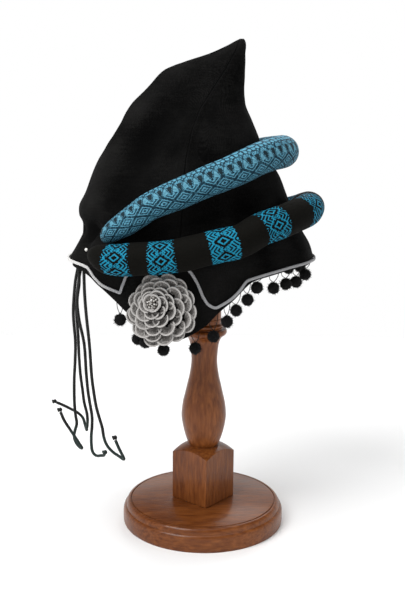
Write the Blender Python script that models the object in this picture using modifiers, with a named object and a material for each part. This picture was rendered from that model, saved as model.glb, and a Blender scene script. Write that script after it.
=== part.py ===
"""A hooded cone hat with two padded rolls, shown on a turned wooden hat stand.

Metres, +Z up. The wearer would face +X, and the near side, which has the flower, is -Y.
The origin is the centre of the stand's foot, on its underside.
"""
from math import acos, cos, degrees, hypot, pi, radians, sin, sqrt

import bmesh
import bpy
from mathutils import Matrix, Vector

# Clearances
GAP = 0.0003
LAYER_GAP = 0.0006
ROLL_GAP = 0.0008

# Hood: the hollow cone of cloth
BRIM_HEIGHT = 0.265
HOOD_HEIGHT = 0.204
HOOD_BACK = 0.132
HOOD_FRONT = 0.103
HOOD_HALF_WIDTH = 0.076
HOOD_CLOTH = 0.002
EAR_DROP = 0.034
FOLD_DEPTH = 0.008

# Under layer: the inner cloth that shows below the hem
UNDER_CLOTH = 0.0015
UNDER_DROP = 0.065
UNDER_TOP = 0.009

# Trims
BRAID_WIDTH = 0.0026
PEARL_DIAMETER = 0.003
PEARL_ANGLE = 33.0
PEARL_RISE = 0.0125

# Padded rolls
UPPER_ROLL_DIAMETER = 0.031
UPPER_ROLL_FAR_RISE = 0.001
LOWER_ROLL_DIAMETER = 0.030
LOWER_ROLL_FAR_RISE = -0.008

# Crochet flower
FLOWER_DIAMETER = 0.064
FLOWER_HEIGHT = 0.014
FLOWER_ANGLE = 80.8
FLOWER_RISE = -0.0355
FLOWER_TURN = 14.0
FLOWER_LEAN = 9.0
BEAD_DIAMETER = 0.011

# Pompom fringe
POMPOM_DIAMETER = 0.0115
THREAD_DIAMETER = 0.0009
TAPE_THICKNESS = 0.001
TAPE_WIDTH = 0.006

# Lacing cords
CORD_DIAMETER = 0.0028
KNOT_DIAMETER = 0.0048

# Stand: turned foot, square block, baluster, collar and head
BASE_DIAMETER = 0.160
BASE_HEIGHT = 0.0225
QUIRK_DIAMETER = 0.143
BLOCK_SIDE = 0.0437
BLOCK_HEIGHT = 0.0555
BLOCK_TURN = 5.6
SHOULDER_RISE = 0.0075
BALUSTER_HEIGHT = 0.135
BALUSTER_DIAMETER = 0.0443
COLLAR_DIAMETER = 0.0435
NECK_DIAMETER = 0.032
HEAD_HEIGHT = 0.052
HEAD_LEVEL = 0.349

# Cross sections of the hood, bottom to top: height as a share of HOOD_HEIGHT, the reach to the back,
# to the front and to the side as shares of HOOD_BACK, HOOD_FRONT and HOOD_HALF_WIDTH, the widest
# place as a share of the length from back to front, and how round the back and the front are
# (2 is an ellipse, less is a ridge).
SECTIONS = (
    # height, back, front, side, widest, back_round, front_round
    (-0.350, 0.970, 0.985, 1.010, 0.50, 2.3, 2.3),
    (0.000, 0.980, 1.000, 1.000, 0.50, 2.3, 2.3),
    (0.050, 0.942, 0.980, 0.975, 0.50, 2.3, 2.2),
    (0.090, 0.908, 0.945, 0.950, 0.50, 2.2, 2.1),
    (0.120, 0.888, 0.912, 0.930, 0.50, 2.2, 2.1),
    (0.160, 0.886, 0.868, 0.905, 0.50, 2.1, 2.0),
    (0.200, 0.908, 0.824, 0.875, 0.50, 2.0, 2.0),
    (0.240, 0.900, 0.787, 0.845, 0.50, 2.0, 2.0),
    (0.290, 0.864, 0.752, 0.800, 0.51, 1.9, 2.0),
    (0.350, 0.835, 0.703, 0.745, 0.52, 1.8, 1.9),
    (0.410, 0.800, 0.645, 0.685, 0.53, 1.7, 1.8),
    (0.480, 0.740, 0.530, 0.605, 0.53, 1.6, 1.8),
    (0.560, 0.670, 0.478, 0.520, 0.55, 1.5, 1.7),
    (0.640, 0.588, 0.410, 0.435, 0.59, 1.4, 1.7),
    (0.720, 0.497, 0.345, 0.350, 0.64, 1.4, 1.6),
    (0.800, 0.394, 0.332, 0.268, 0.69, 1.3, 1.6),
    (0.860, 0.303, 0.332, 0.200, 0.73, 1.3, 1.6),
    (0.900, 0.150, 0.332, 0.155, 0.70, 1.3, 1.6),
    (0.935, -0.015, 0.334, 0.115, 0.66, 1.4, 1.6),
    (0.965, -0.120, 0.340, 0.078, 0.62, 1.5, 1.7),
    (0.985, -0.180, 0.338, 0.045, 0.58, 1.6, 1.8),
    (1.000, -0.225, 0.322, 0.000, 0.50, 2.0, 2.0),
)

# The two hems from the nape (0) to the front (1): how far each hangs below the brim line,
# as a share of EAR_DROP for the hood and of UNDER_DROP for the under layer.
HEMS = (
    # along, hood_drop, under_drop
    (0.000, 0.000, 0.077),
    (0.047, 0.015, 0.092),
    (0.094, 0.070, 0.158),
    (0.129, 0.330, 0.258),
    (0.168, 0.500, 0.363),
    (0.222, 0.610, 0.520),
    (0.253, 0.660, 0.620),
    (0.267, 0.440, 0.660),
    (0.280, 0.235, 0.705),
    (0.297, 0.120, 0.765),
    (0.370, 0.100, 0.940),
    (0.413, 0.100, 0.985),
    (0.468, 0.100, 0.960),
    (0.489, 0.120, 0.930),
    (0.519, 0.320, 0.868),
    (0.545, 0.705, 0.810),
    (0.566, 0.910, 0.754),
    (0.596, 1.000, 0.640),
    (0.626, 0.910, 0.540),
    (0.664, 0.735, 0.430),
    (0.694, 0.518, 0.320),
    (0.719, 0.294, 0.230),
    (0.740, 0.245, 0.170),
    (0.813, 0.118, 0.097),
    (0.902, 0.000, 0.037),
    (1.000, -0.060, 0.011),
)

# Hollows and bulges in the cloth of each side: place from the axis as a share of HOOD_BACK, height as a
# share of HOOD_HEIGHT, reach as a share of HOOD_HEIGHT and depth as a share of FOLD_DEPTH.
FOLDS = (
    # place, height, reach, depth
    (-0.150, 0.700, 0.070, 0.40),
    (-0.300, 0.635, 0.075, 0.75),
    (-0.405, 0.560, 0.080, 0.90),
    (-0.455, 0.470, 0.080, 0.90),
    (-0.520, 0.370, 0.080, 0.70),
    (-0.590, 0.280, 0.075, 0.40),
    (-0.640, 0.420, 0.090, -0.50),
    (-0.500, 0.680, 0.080, -0.30),
    (-0.780, 0.255, 0.070, -0.45),
    (-0.780, 0.158, 0.036, 1.00),
    (-0.835, 0.125, 0.034, 0.80),
    (-0.860, 0.185, 0.028, 0.35),
    (-0.765, 0.088, 0.030, -0.25),
    (0.080, 0.230, 0.050, 0.20),
    (0.260, 0.270, 0.045, 0.25),
    (0.430, 0.270, 0.035, -0.22),
    (0.520, 0.250, 0.032, 0.22),
)

# Where each roll touches the hood, from its back end (near side) to the front: angle round the hood in
# degrees (0 is the nape, 180 the front), height as a share of HOOD_HEIGHT, thickness as a share of the
# roll's diameter.
UPPER_ROLL_ROUTE = (
    # angle, height, thickness
    (46.6, 0.116, 0.22),
    (48.6, 0.125, 0.45),
    (56.5, 0.163, 0.69),
    (68.6, 0.226, 0.78),
    (77.2, 0.267, 0.84),
    (91.4, 0.328, 0.89),
    (111.8, 0.383, 0.92),
    (133.7, 0.429, 0.95),
    (156.0, 0.445, 0.98),
    (180.0, 0.446, 1.00),
)
LOWER_ROLL_ROUTE = (
    # angle, height, thickness
    (43.0, 0.048, 0.25),
    (45.0, 0.043, 0.45),
    (49.8, 0.034, 0.68),
    (55.4, 0.027, 0.88),
    (62.4, 0.025, 0.97),
    (74.0, 0.038, 0.99),
    (82.7, 0.049, 1.00),
    (96.7, 0.089, 1.00),
    (109.9, 0.113, 1.00),
    (124.9, 0.151, 1.00),
    (142.2, 0.184, 1.00),
    (160.0, 0.206, 1.00),
    (180.0, 0.214, 1.00),
)

# Rings of petals, from the one on the cloth up: radius as a share of the flower's, height of the ring's
# rim as a share of FLOWER_HEIGHT, count of petals, and how far its centre has slipped, as shares of the
# radius towards the nape and up.
PETAL_RINGS = (
    # radius, rim_height, petals, slip_back, slip_up
    (1.00, 0.34, 13, 0.00, 0.00),
    (0.84, 0.52, 12, 0.03, 0.03),
    (0.66, 0.70, 10, 0.07, 0.07),
    (0.48, 0.86, 9, 0.10, 0.11),
    (0.31, 1.00, 7, 0.12, 0.14),
)

# Pompoms of one side from the nape to the front: place along the hem (0 the nape, 1 the front) and how
# far the middle hangs below the under layer's edge, in pompom diameters.
POMPOMS = (
    # along, drop
    (0.218, 1.25),
    (0.291, 1.35),
    (0.327, 1.00),
    (0.394, 0.95),
    (0.522, 1.30),
    (0.593, 1.55),
    (0.646, 1.30),
    (0.682, 1.10),
    (0.726, 1.15),
    (0.765, 0.60),
    (0.833, 1.10),
    (0.887, 1.08),
    (0.936, 1.15),
    (0.982, 0.85),
)

# Routes of the lacing cords, from inside the nape to the knot, chosen by hand.
CORD_ROUTES = {
    "cord_1": (
        (-0.1215, -0.006, 0.2660), (-0.1219, -0.006, 0.2560), (-0.1248, -0.006, 0.2400),
        (-0.1270, -0.006, 0.2120), (-0.1255, -0.006, 0.1840), (-0.1260, -0.006, 0.1650),
        (-0.1272, -0.006, 0.1460), (-0.1275, -0.006, 0.1280), (-0.1272, -0.006, 0.1160),
        (-0.1265, -0.006, 0.1080), (-0.1255, -0.006, 0.1000), (-0.1275, -0.005, 0.0925),
        (-0.1285, -0.005, 0.0860), (-0.1265, -0.006, 0.0800), (-0.1220, -0.010, 0.0765),
        (-0.1195, -0.015, 0.0780), (-0.1215, -0.019, 0.0840), (-0.1260, -0.020, 0.0920),
        (-0.1310, -0.020, 0.1000), (-0.1355, -0.020, 0.1075), (-0.1390, -0.020, 0.1160),
    ),
    "cord_2": (
        (-0.1205, 0.014, 0.2660), (-0.1209, 0.014, 0.2560), (-0.1240, 0.014, 0.2400),
        (-0.1268, 0.014, 0.2120), (-0.1255, 0.014, 0.1840), (-0.1250, 0.014, 0.1650),
        (-0.1240, 0.014, 0.1460), (-0.1220, 0.014, 0.1280), (-0.1205, 0.014, 0.1150),
        (-0.1180, 0.014, 0.1040), (-0.1175, 0.014, 0.0950), (-0.1185, 0.016, 0.0880),
        (-0.1195, 0.021, 0.0840), (-0.1215, 0.026, 0.0870), (-0.1240, 0.027, 0.0950),
        (-0.1295, 0.026, 0.1010), (-0.1360, 0.025, 0.1050), (-0.1430, 0.024, 0.1090),
        (-0.1500, 0.024, 0.1120),
    ),
    "cord_3": (
        (-0.1182, -0.024, 0.2660), (-0.1182, -0.024, 0.2560), (-0.1184, -0.024, 0.2430),
        (-0.1205, -0.024, 0.2270), (-0.1190, -0.024, 0.2090), (-0.1145, -0.024, 0.1850),
        (-0.1130, -0.024, 0.1570), (-0.1115, -0.024, 0.1380), (-0.1095, -0.024, 0.1240),
        (-0.1080, -0.024, 0.1130), (-0.1082, -0.024, 0.1030), (-0.1090, -0.024, 0.0940),
        (-0.1090, -0.024, 0.0850), (-0.1080, -0.024, 0.0775), (-0.1045, -0.024, 0.0735),
        (-0.1000, -0.025, 0.0740), (-0.0965, -0.028, 0.0755), (-0.0955, -0.032, 0.0790),
    ),
    "cord_4": (
        (-0.1122, -0.035, 0.2660), (-0.1122, -0.035, 0.2520), (-0.1118, -0.035, 0.2340),
        (-0.1105, -0.035, 0.2140), (-0.1080, -0.035, 0.1860), (-0.1065, -0.035, 0.1580),
        (-0.1045, -0.035, 0.1400), (-0.1025, -0.035, 0.1270), (-0.0995, -0.035, 0.1150),
        (-0.0970, -0.035, 0.1060), (-0.0955, -0.035, 0.0960), (-0.0925, -0.035, 0.0880),
        (-0.0870, -0.035, 0.0815), (-0.0815, -0.036, 0.0780), (-0.0770, -0.040, 0.0765),
        (-0.0755, -0.045, 0.0790), (-0.0775, -0.048, 0.0850), (-0.0805, -0.049, 0.0920),
        (-0.0830, -0.049, 0.0985),
    ),
}


# Start from an empty scene
for old in list(bpy.data.objects):
    bpy.data.objects.remove(old, do_unlink=True)

parts = bpy.data.collections.new("hooded_cone_hat_on_stand")
tools = bpy.data.collections.new("cutters")
bpy.context.scene.collection.children.link(parts)
bpy.context.scene.collection.children.link(tools)


def material(name, colour, roughness, metallic=0.0):
    """A plain finish, with its colour given in linear light."""
    finish = bpy.data.materials.new(name)
    finish.use_nodes = True
    shader = finish.node_tree.nodes["Principled BSDF"]
    shader.inputs["Base Color"].default_value = (*colour, 1.0)
    shader.inputs["Roughness"].default_value = roughness
    shader.inputs["Metallic"].default_value = metallic
    return finish


BLACK_CLOTH = material("black_cloth", (0.012, 0.012, 0.013), 0.85)
BLACK_LINING = material("black_lining", (0.010, 0.010, 0.011), 0.9)
GREY_BRAID = material("grey_braid", (0.42, 0.42, 0.43), 0.8)
BLUE_BROCADE = material("blue_brocade", (0.13, 0.42, 0.60), 0.7)
GREY_WOOL = material("grey_wool", (0.50, 0.49, 0.47), 0.9)
GLASS_BEAD = material("glass_bead", (0.55, 0.54, 0.52), 0.25)
BLACK_WOOL = material("black_wool", (0.008, 0.008, 0.009), 0.95)
BLACK_CORD = material("black_cord", (0.012, 0.012, 0.012), 0.6)
PEARL = material("pearl", (0.85, 0.84, 0.80), 0.25)
STAINED_WOOD = material("stained_wood", (0.23, 0.09, 0.04), 0.35)


def add_object(name, mesh, finish, collection=parts):
    """Puts a mesh in the scene under its plain name."""
    piece = bpy.data.objects.new(name, mesh)
    collection.objects.link(piece)
    if finish is not None:
        mesh.materials.append(finish)
    if collection is tools:
        piece.hide_render = True
        piece.display_type = "WIRE"
    return piece


def finish_mesh(name, bm, whole=True):
    """Turns the working mesh into mesh data; a whole body has its faces turned out."""
    if whole:
        bmesh.ops.recalc_face_normals(bm, faces=bm.faces)
    mesh = bpy.data.meshes.new(name)
    bm.to_mesh(mesh)
    bm.free()
    mesh.shade_smooth()
    mesh.set_sharp_from_angle(angle=radians(40))
    return mesh


def union_with(piece, others):
    """Fuses other overlapping bodies into the piece and takes them out of the scene."""
    for number, other in enumerate(others):
        join = piece.modifiers.new(f"join_{number}", "BOOLEAN")
        join.operation = "UNION"
        join.solver = "EXACT"
        join.use_self = True
        join.object = other


def smooth_curve(points):
    """A curve through (x, y) points that never overshoots them: a monotone cubic, as a function."""
    xs = [p[0] for p in points]
    ys = [p[1] for p in points]
    steps = [(ys[i + 1] - ys[i]) / (xs[i + 1] - xs[i]) for i in range(len(xs) - 1)]
    slopes = [steps[0]]
    for before, after in zip(steps, steps[1:]):
        slopes.append(2 * before * after / (before + after) if before * after > 0 else 0.0)
    slopes.append(steps[-1])

    def read(x):
        x = min(max(x, xs[0]), xs[-1])
        i = next(k for k in range(len(xs) - 1) if x <= xs[k + 1])
        width = xs[i + 1] - xs[i]
        t = (x - xs[i]) / width
        return (ys[i] * (1 + 2 * t) * (1 - t) ** 2 + ys[i + 1] * t * t * (3 - 2 * t)
                + width * (slopes[i] * t * (1 - t) ** 2 - slopes[i + 1] * t * t * (1 - t)))
    return read


def smooth_route(points, spacing):
    """Points at about even spacing on a smooth curve through the given ones."""
    knots = [Vector(p) for p in points]
    ends = [2 * knots[0] - knots[1]] + knots + [2 * knots[-1] - knots[-2]]
    fine = []
    for a, b, c, d in zip(ends, ends[1:], ends[2:], ends[3:]):
        for step in range(12):
            t = step / 12
            fine.append(0.5 * (2 * b + (c - a) * t + (2 * a - 5 * b + 4 * c - d) * t * t
                               + (3 * b - a - 3 * c + d) * t ** 3))
    fine.append(knots[-1])
    length = sum((q - p).length for p, q in zip(fine, fine[1:]))
    count = max(2, round(length / spacing))
    even = [fine[0]]
    walked = 0.0
    for p, q in zip(fine, fine[1:]):
        leg = (q - p).length
        while len(even) < count and walked + leg >= length * len(even) / count:
            share = (length * len(even) / count - walked) / leg
            even.append(p.lerp(q, share))
        walked += leg
    even.append(fine[-1])
    return even


def tube(name, points, radii, finish, resolution, closed=False):
    """A round tube along the points, closed at its ends."""
    curve = bpy.data.curves.new(name, "CURVE")
    curve.dimensions = "3D"
    curve.bevel_depth = 1.0
    curve.bevel_resolution = resolution
    curve.use_fill_caps = not closed
    spline = curve.splines.new("POLY")
    spline.points.add(len(points) - 1)
    spline.use_cyclic_u = closed
    for knot, place, radius in zip(spline.points, points, radii):
        knot.co = (*place, 1.0)
        knot.radius = radius
    piece = bpy.data.objects.new(name, curve)
    parts.objects.link(piece)
    curve.materials.append(finish)
    return piece


def turned(name, profile, steps, finish, collection=parts):
    """A solid of revolution: (radius, height) from top to bottom, both ends on the axis."""
    bm = bmesh.new()
    verts = [bm.verts.new((radius, 0.0, height)) for radius, height in profile]
    for a, b in zip(verts, verts[1:]):
        bm.edges.new((a, b))
    mesh = bpy.data.meshes.new(name)
    bm.to_mesh(mesh)
    bm.free()
    piece = add_object(name, mesh, finish, collection)
    spin = piece.modifiers.new("turn", "SCREW")
    spin.axis = "Z"
    spin.angle = 2 * pi
    spin.steps = steps
    spin.render_steps = steps
    spin.use_merge_vertices = True
    spin.merge_threshold = 0.00001
    spin.use_smooth_shade = True
    return piece


# Surface of the hood
SECTION_CURVES = [smooth_curve([(row[0], row[k]) for row in SECTIONS]) for k in range(1, 7)]
HOOD_HEM = smooth_curve([(row[0], row[1]) for row in HEMS])
UNDER_HEM = smooth_curve([(row[0], row[2]) for row in HEMS])
HEM_ROUND = SECTIONS[1][5]


def share_of_height(z):
    return (z - BRIM_HEIGHT) / HOOD_HEIGHT


def along_hem(angle):
    """Share of the way from nape to front at an angle round the brim."""
    c = cos(radians(angle))
    return 0.5 - 0.5 * (1 if c > 0 else -1) * abs(c) ** (2 / HEM_ROUND)


def angle_of(along):
    """Angle round the brim at a share of the way from nape to front."""
    u = 1 - 2 * along
    return degrees(acos((1 if u > 0 else -1) * abs(u) ** (HEM_ROUND / 2)))


def hood_hem(angle):
    return BRIM_HEIGHT - EAR_DROP * HOOD_HEM(along_hem(angle))


def under_hem(angle):
    return BRIM_HEIGHT - UNDER_DROP * UNDER_HEM(along_hem(angle))


def smooth_hood_point(angle, z):
    """Near half of the hood's outside, before its folds."""
    back, front, side, widest, back_round, front_round = [read(share_of_height(z)) for read in SECTION_CURVES]
    x_back = -HOOD_BACK * back
    x_front = HOOD_FRONT * front
    x_middle = x_back + widest * (x_front - x_back)
    c = cos(radians(angle))
    s = max(sin(radians(angle)), 0.0)
    if c > 0:
        x = x_middle - (x_middle - x_back) * c ** (2 / back_round)
        y = -HOOD_HALF_WIDTH * side * s ** (2 / back_round)
    else:
        x = x_middle + (x_front - x_middle) * (-c) ** (2 / front_round)
        y = -HOOD_HALF_WIDTH * side * s ** (2 / front_round)
    if angle <= 0 or angle >= 180:
        y = 0.0
    return Vector((x, y, z))


def outward(surface, angle, z):
    """Unit vector out of a surface that is given by angle and height, on the near half."""
    turn = 1.0
    rise = 0.001
    a0 = max(angle - turn, 0.0)
    a1 = min(angle + turn, 180.0)
    top = BRIM_HEIGHT + HOOD_HEIGHT
    if angle in (0, 180):
        below = surface(angle, z - rise)
        above = surface(angle, min(z + rise, top))
        slope = above - below
        sign = -1 if angle == 0 else 1
        return Vector((sign * slope.z, 0.0, -sign * slope.x)).normalized()
    across = surface(a1, z) - surface(a0, z)
    up = surface(angle, min(z + rise, top)) - surface(angle, z - rise)
    return across.cross(up).normalized()


def fold_depth(place):
    """How far the folds press the cloth in at a place on the hood."""
    total = 0.0
    for along, height, reach, depth in FOLDS:
        away = hypot(place.x - along * HOOD_BACK, place.z - BRIM_HEIGHT - height * HOOD_HEIGHT)
        total += depth * FOLD_DEPTH * 2.718 ** (-(away / (reach * HOOD_HEIGHT)) ** 2)
    return total


def hood_point(angle, z):
    """Near half of the hood's outside, with its folds."""
    place = smooth_hood_point(angle, z)
    if angle in (0, 180):
        return place
    place = place - outward(smooth_hood_point, angle, z) * fold_depth(place)
    place.y = min(place.y, -0.0002)
    return place


def cloth_point(angle, z, inset=0.0):
    """A point on the near half, a depth inside the hood's outer face."""
    place = hood_point(angle, z)
    if inset:
        place = place - outward(hood_point, angle, z) * inset
        place.y = 0.0 if angle in (0, 180) else min(place.y, -0.0002)
    return place


# Columns round the half hood, close together at the notch, and rows up it
COLUMNS = (0, 14, 27, 38, 48, 57, 62, 65, 68.5, 79, 88, 90.5, 94, 99, 106, 115, 127, 140, 153, 166, 180)
FLAP_ROWS = (0.0, 0.5)
CONE_ROWS = (0.018, 0.05, 0.09, 0.125, 0.16, 0.20, 0.26, 0.33, 0.40, 0.48, 0.57, 0.67, 0.77, 0.86, 0.93)
TIP_ROWS = (0.975, 1.0)
INNER_TIP = 0.972


def cloth_grid(bm, inset, bottom, rows, ridge=None, lining=False):
    """Rows of points on the near half, from the bottom edge up, joined by faces that point out, or in."""
    grid = []
    for row in rows:
        grid.append([bm.verts.new(cloth_point(angle, row(angle, bottom), inset)) for angle in COLUMNS])
    if ridge is not None:
        grid.append(ridge_row(bm, *ridge))
    last = len(COLUMNS) - 2
    for low, high in zip(grid, grid[1:]):
        on_ridge = ridge is not None and high is grid[-1]
        for j in range(last + 1):
            corners = [low[j], low[j + 1], high[j + 1], high[j]]
            if on_ridge and j == 0:
                corners = corners[1:] + corners[:1]
            made = [corners]
            if on_ridge and j in (0, last):
                made = [corners[:3], [corners[0], corners[2], corners[3]]]
            for face in made:
                bm.faces.new(list(reversed(face)) if lining else face)
    return grid


def between_columns(angle, place):
    """A point of the faceted cloth: part of the way between the two columns beside the angle."""
    after = next(k for k in range(1, len(COLUMNS)) if angle <= COLUMNS[k])
    left = COLUMNS[after - 1]
    right = COLUMNS[after]
    return place(left).lerp(place(right), (angle - left) / (right - left))


def ridge_row(bm, height, shrink):
    """The line on the middle plane where the two halves close at the top."""
    z = BRIM_HEIGHT + HOOD_HEIGHT * height
    back = smooth_hood_point(0, z).x
    front = smooth_hood_point(180, z).x
    centre = (back + front) / 2
    half = (front - back) / 2 - shrink
    return [bm.verts.new((centre - half * cos(radians(angle)), 0.0, z - shrink)) for angle in COLUMNS]


def blend_row(share, top):
    """A row part of the way from the bottom edge to a level."""
    return lambda angle, bottom: bottom(angle) + share * (top - bottom(angle))


def level_row(height):
    return lambda angle, bottom: BRIM_HEIGHT + HOOD_HEIGHT * height


def close_edge(bm, outer, inner):
    for j in range(len(COLUMNS) - 1):
        bm.faces.new((outer[j + 1], outer[j], inner[j], inner[j + 1]))


def mirror_halves(piece):
    """The far half is the near half's mirror image."""
    mirror = piece.modifiers.new("far_half", "MIRROR")
    mirror.use_axis = (False, True, False)
    mirror.use_clip = True
    mirror.merge_threshold = 0.00005


def make_hood():
    """Two lofted faces, the outer and the inner, joined at the hem and closed at the ridge."""
    bm = bmesh.new()
    flap_top = BRIM_HEIGHT + HOOD_HEIGHT * CONE_ROWS[0]
    flap = [blend_row(share, flap_top) for share in FLAP_ROWS]
    cone = [level_row(height) for height in CONE_ROWS]
    outer = cloth_grid(bm, 0.0, hood_hem, flap + cone + [level_row(TIP_ROWS[0])], (TIP_ROWS[1], 0.0))
    inner = cloth_grid(bm, HOOD_CLOTH, hood_hem, flap + cone, (INNER_TIP, HOOD_CLOTH), lining=True)
    close_edge(bm, outer[0], inner[0])
    hood = add_object("hood", finish_mesh("hood", bm, whole=False), BLACK_CLOTH)
    mirror_halves(hood)
    return hood


UNDER_INSET = HOOD_CLOTH + LAYER_GAP


def make_under_layer():
    """A band inside the hood whose lower edge shows below the hem."""
    bm = bmesh.new()
    rows = [blend_row(share, BRIM_HEIGHT) for share in (0.0, 0.5, 1.0)]
    rows.append(level_row(UNDER_TOP / HOOD_HEIGHT))
    outer = cloth_grid(bm, UNDER_INSET, under_hem, rows)
    inner = cloth_grid(bm, UNDER_INSET + UNDER_CLOTH, under_hem, rows, lining=True)
    close_edge(bm, outer[0], inner[0])
    close_edge(bm, inner[-1], outer[-1])
    band = add_object("under_layer", finish_mesh("under_layer", bm, whole=False), BLACK_LINING)
    mirror_halves(band)
    return band


def mirrored_loop(points):
    """Near points from nape to front, then their far mirror images back to the nape."""
    return points + [Vector((p.x, -p.y, p.z)) for p in reversed(points[1:-1])]


def hem_braid_points(count):
    """The braid's middle line on the hood's outer face, just above the hem."""
    radius = BRAID_WIDTH / 2
    stops = [k / count for k in range(count + 1)]
    points = []
    for stop in stops:
        angle = 180 * stop
        here = hood_point(angle, hood_hem(angle))
        before = hood_point(max(angle - 1, 0), hood_hem(max(angle - 1, 0)))
        after = hood_point(min(angle + 1, 180), hood_hem(min(angle + 1, 180)))
        face = outward(hood_point, angle, hood_hem(angle))
        inward = (after - before).cross(face).normalized()
        inward = inward if inward.z > 0 or stop in (0, 1) else inward
        place = here - inward * radius + face * (radius + GAP)
        if stop in (0, 1):
            place = here + Vector((0, 0, radius)) + face * (radius + GAP)
            place.y = 0.0
        points.append(place)
    return points


def make_hem_braid():
    points = mirrored_loop(hem_braid_points(27))
    return tube("hem_braid", points, [BRAID_WIDTH / 2] * len(points), GREY_BRAID, 1, closed=True)


def roll_centre(angle, z, radius):
    """How far out a roll's middle has to be to lie on the folded cloth round this place."""
    near = []
    for side in range(-4, 5):
        for level in range(-4, 5):
            around = min(max(angle + 6 * side, 1.0), 179.0)
            place = hood_point(around, z + level * radius / 4)
            near.append(place)
            near.append(Vector((place.x, -place.y, place.z)))
    seat = smooth_hood_point(angle, z)
    face = outward(smooth_hood_point, angle, z)
    out = radius * 0.8
    while min((seat + face * out - place).length for place in near) < radius + ROLL_GAP:
        out += 0.0001
    return seat + face * out


def roll_points(route, diameter, far_rise, count):
    """Middle line and radii of a roll that lies against the hood, from near end round to far end."""
    angles = [row[0] for row in route]
    stops = [k / (len(route) - 1) for k in range(len(route))]
    read_angle = smooth_curve(list(zip(stops, angles)))
    read_height = smooth_curve([(stop, row[1]) for stop, row in zip(stops, route)])
    read_width = smooth_curve([(stop, row[2]) for stop, row in zip(stops, route)])
    near = []
    far = []
    for k in range(count + 1):
        stop = k / count
        angle = read_angle(stop)
        radius = diameter / 2 * read_width(stop)
        rises = (0.0, far_rise * stop * stop * min(1.0, 6 * (1 - stop)))
        for side, rise in zip((near, far), rises):
            z = BRIM_HEIGHT + HOOD_HEIGHT * read_height(stop) + rise
            side.append((roll_centre(angle, z, radius), radius))
    far = [(Vector((p.x, -p.y, p.z)), radius) for p, radius in reversed(far[:-1])]
    return near + far


def make_roll(name, route, diameter, far_rise, finish):
    middle = roll_points(route, diameter, far_rise, 15)
    return tube(name, [p for p, _ in middle], [r for _, r in middle], finish, 3)


def flower_frame():
    """The flower's seat: its matrix has Z out of the cloth, Y up and X towards the face."""
    z = BRIM_HEIGHT + FLOWER_RISE
    seat = hood_point(FLOWER_ANGLE, z)
    turn = Matrix.Rotation(radians(-FLOWER_TURN), 4, "Z") @ Matrix.Rotation(radians(90 - FLOWER_LEAN), 4, "X")
    out = turn.to_3x3() @ Vector((0, 0, 1))
    proud = BRAID_WIDTH + 2 * GAP
    radius = FLOWER_DIAMETER / 2
    highest = 0.0
    for k in range(60):
        angle = 30 + 2 * k
        for step in range(12):
            level = z - radius + step * radius / 5.5
            on_braid = level > hood_hem(angle) - proud
            place = hood_point(angle, level) if on_braid else cloth_point(angle, level, UNDER_INSET)
            offset = place - seat
            if offset.length > radius or level < under_hem(angle):
                continue
            highest = max(highest, offset.dot(out) + (proud if on_braid else 0.0))
    return Matrix.Translation(seat + out * (highest + GAP)) @ turn


def petal_ring(bm, frame, radius, rim_height, petals, slip_back, slip_up, base):
    """One scalloped ring as a shallow cup, standing on the ring below."""
    whole = FLOWER_DIAMETER / 2
    reach = whole * radius
    centre = Vector((-slip_back * whole, slip_up * whole, 0.0))
    lobe_points = 3
    count = petals * lobe_points
    cup = FLOWER_HEIGHT * 0.16
    rim = FLOWER_HEIGHT * rim_height
    top = []
    bottom = []
    for k in range(count):
        turn = 2 * pi * (k + 0.5 * (petals % 2)) / count
        lobe = abs(sin(petals * turn / 2))
        out = reach * (0.86 + 0.14 * lobe ** 0.6)
        edge = Vector((cos(turn), sin(turn), 0.0)) * out + centre
        top.append(bm.verts.new(frame @ Vector((edge.x, edge.y, rim - cup * 0.5 + cup * lobe * 0.5))))
        low = Vector((cos(turn), sin(turn), 0.0)) * out * 0.94 + centre
        bottom.append(bm.verts.new(frame @ Vector((low.x, low.y, base))))
    middle = bm.verts.new(frame @ Vector((centre.x, centre.y, rim - cup)))
    under = bm.verts.new(frame @ Vector((centre.x, centre.y, base)))
    for k in range(count):
        n = (k + 1) % count
        bm.faces.new((top[k], top[n], middle))
        bm.faces.new((bottom[n], bottom[k], under))
        bm.faces.new((bottom[k], bottom[n], top[n], top[k]))


def make_flower():
    """Rings of scalloped petals, each standing on the one below, as one body."""
    frame = flower_frame()
    floor = 0.0
    rings = []
    for number, (radius, rim_height, petals, slip_back, slip_up) in enumerate(PETAL_RINGS):
        bm = bmesh.new()
        petal_ring(bm, frame, radius, rim_height, petals, slip_back, slip_up, floor)
        floor = FLOWER_HEIGHT * (rim_height - 0.20)
        mesh = finish_mesh(f"petal_ring_{number}", bm)
        rings.append(add_object("flower" if number == 0 else f"ring_{number}", mesh, GREY_WOOL,
                                parts if number == 0 else tools))
    union_with(rings[0], rings[1:])
    return frame


def ball(name, centre, diameter, segments, rings, finish, squash=1.0, collection=parts):
    bm = bmesh.new()
    bmesh.ops.create_uvsphere(bm, u_segments=segments, v_segments=rings, radius=diameter / 2)
    bmesh.ops.scale(bm, vec=(1, 1, squash), verts=bm.verts)
    bmesh.ops.translate(bm, vec=centre, verts=bm.verts)
    return add_object(name, finish_mesh(name, bm), finish, collection)


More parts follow.
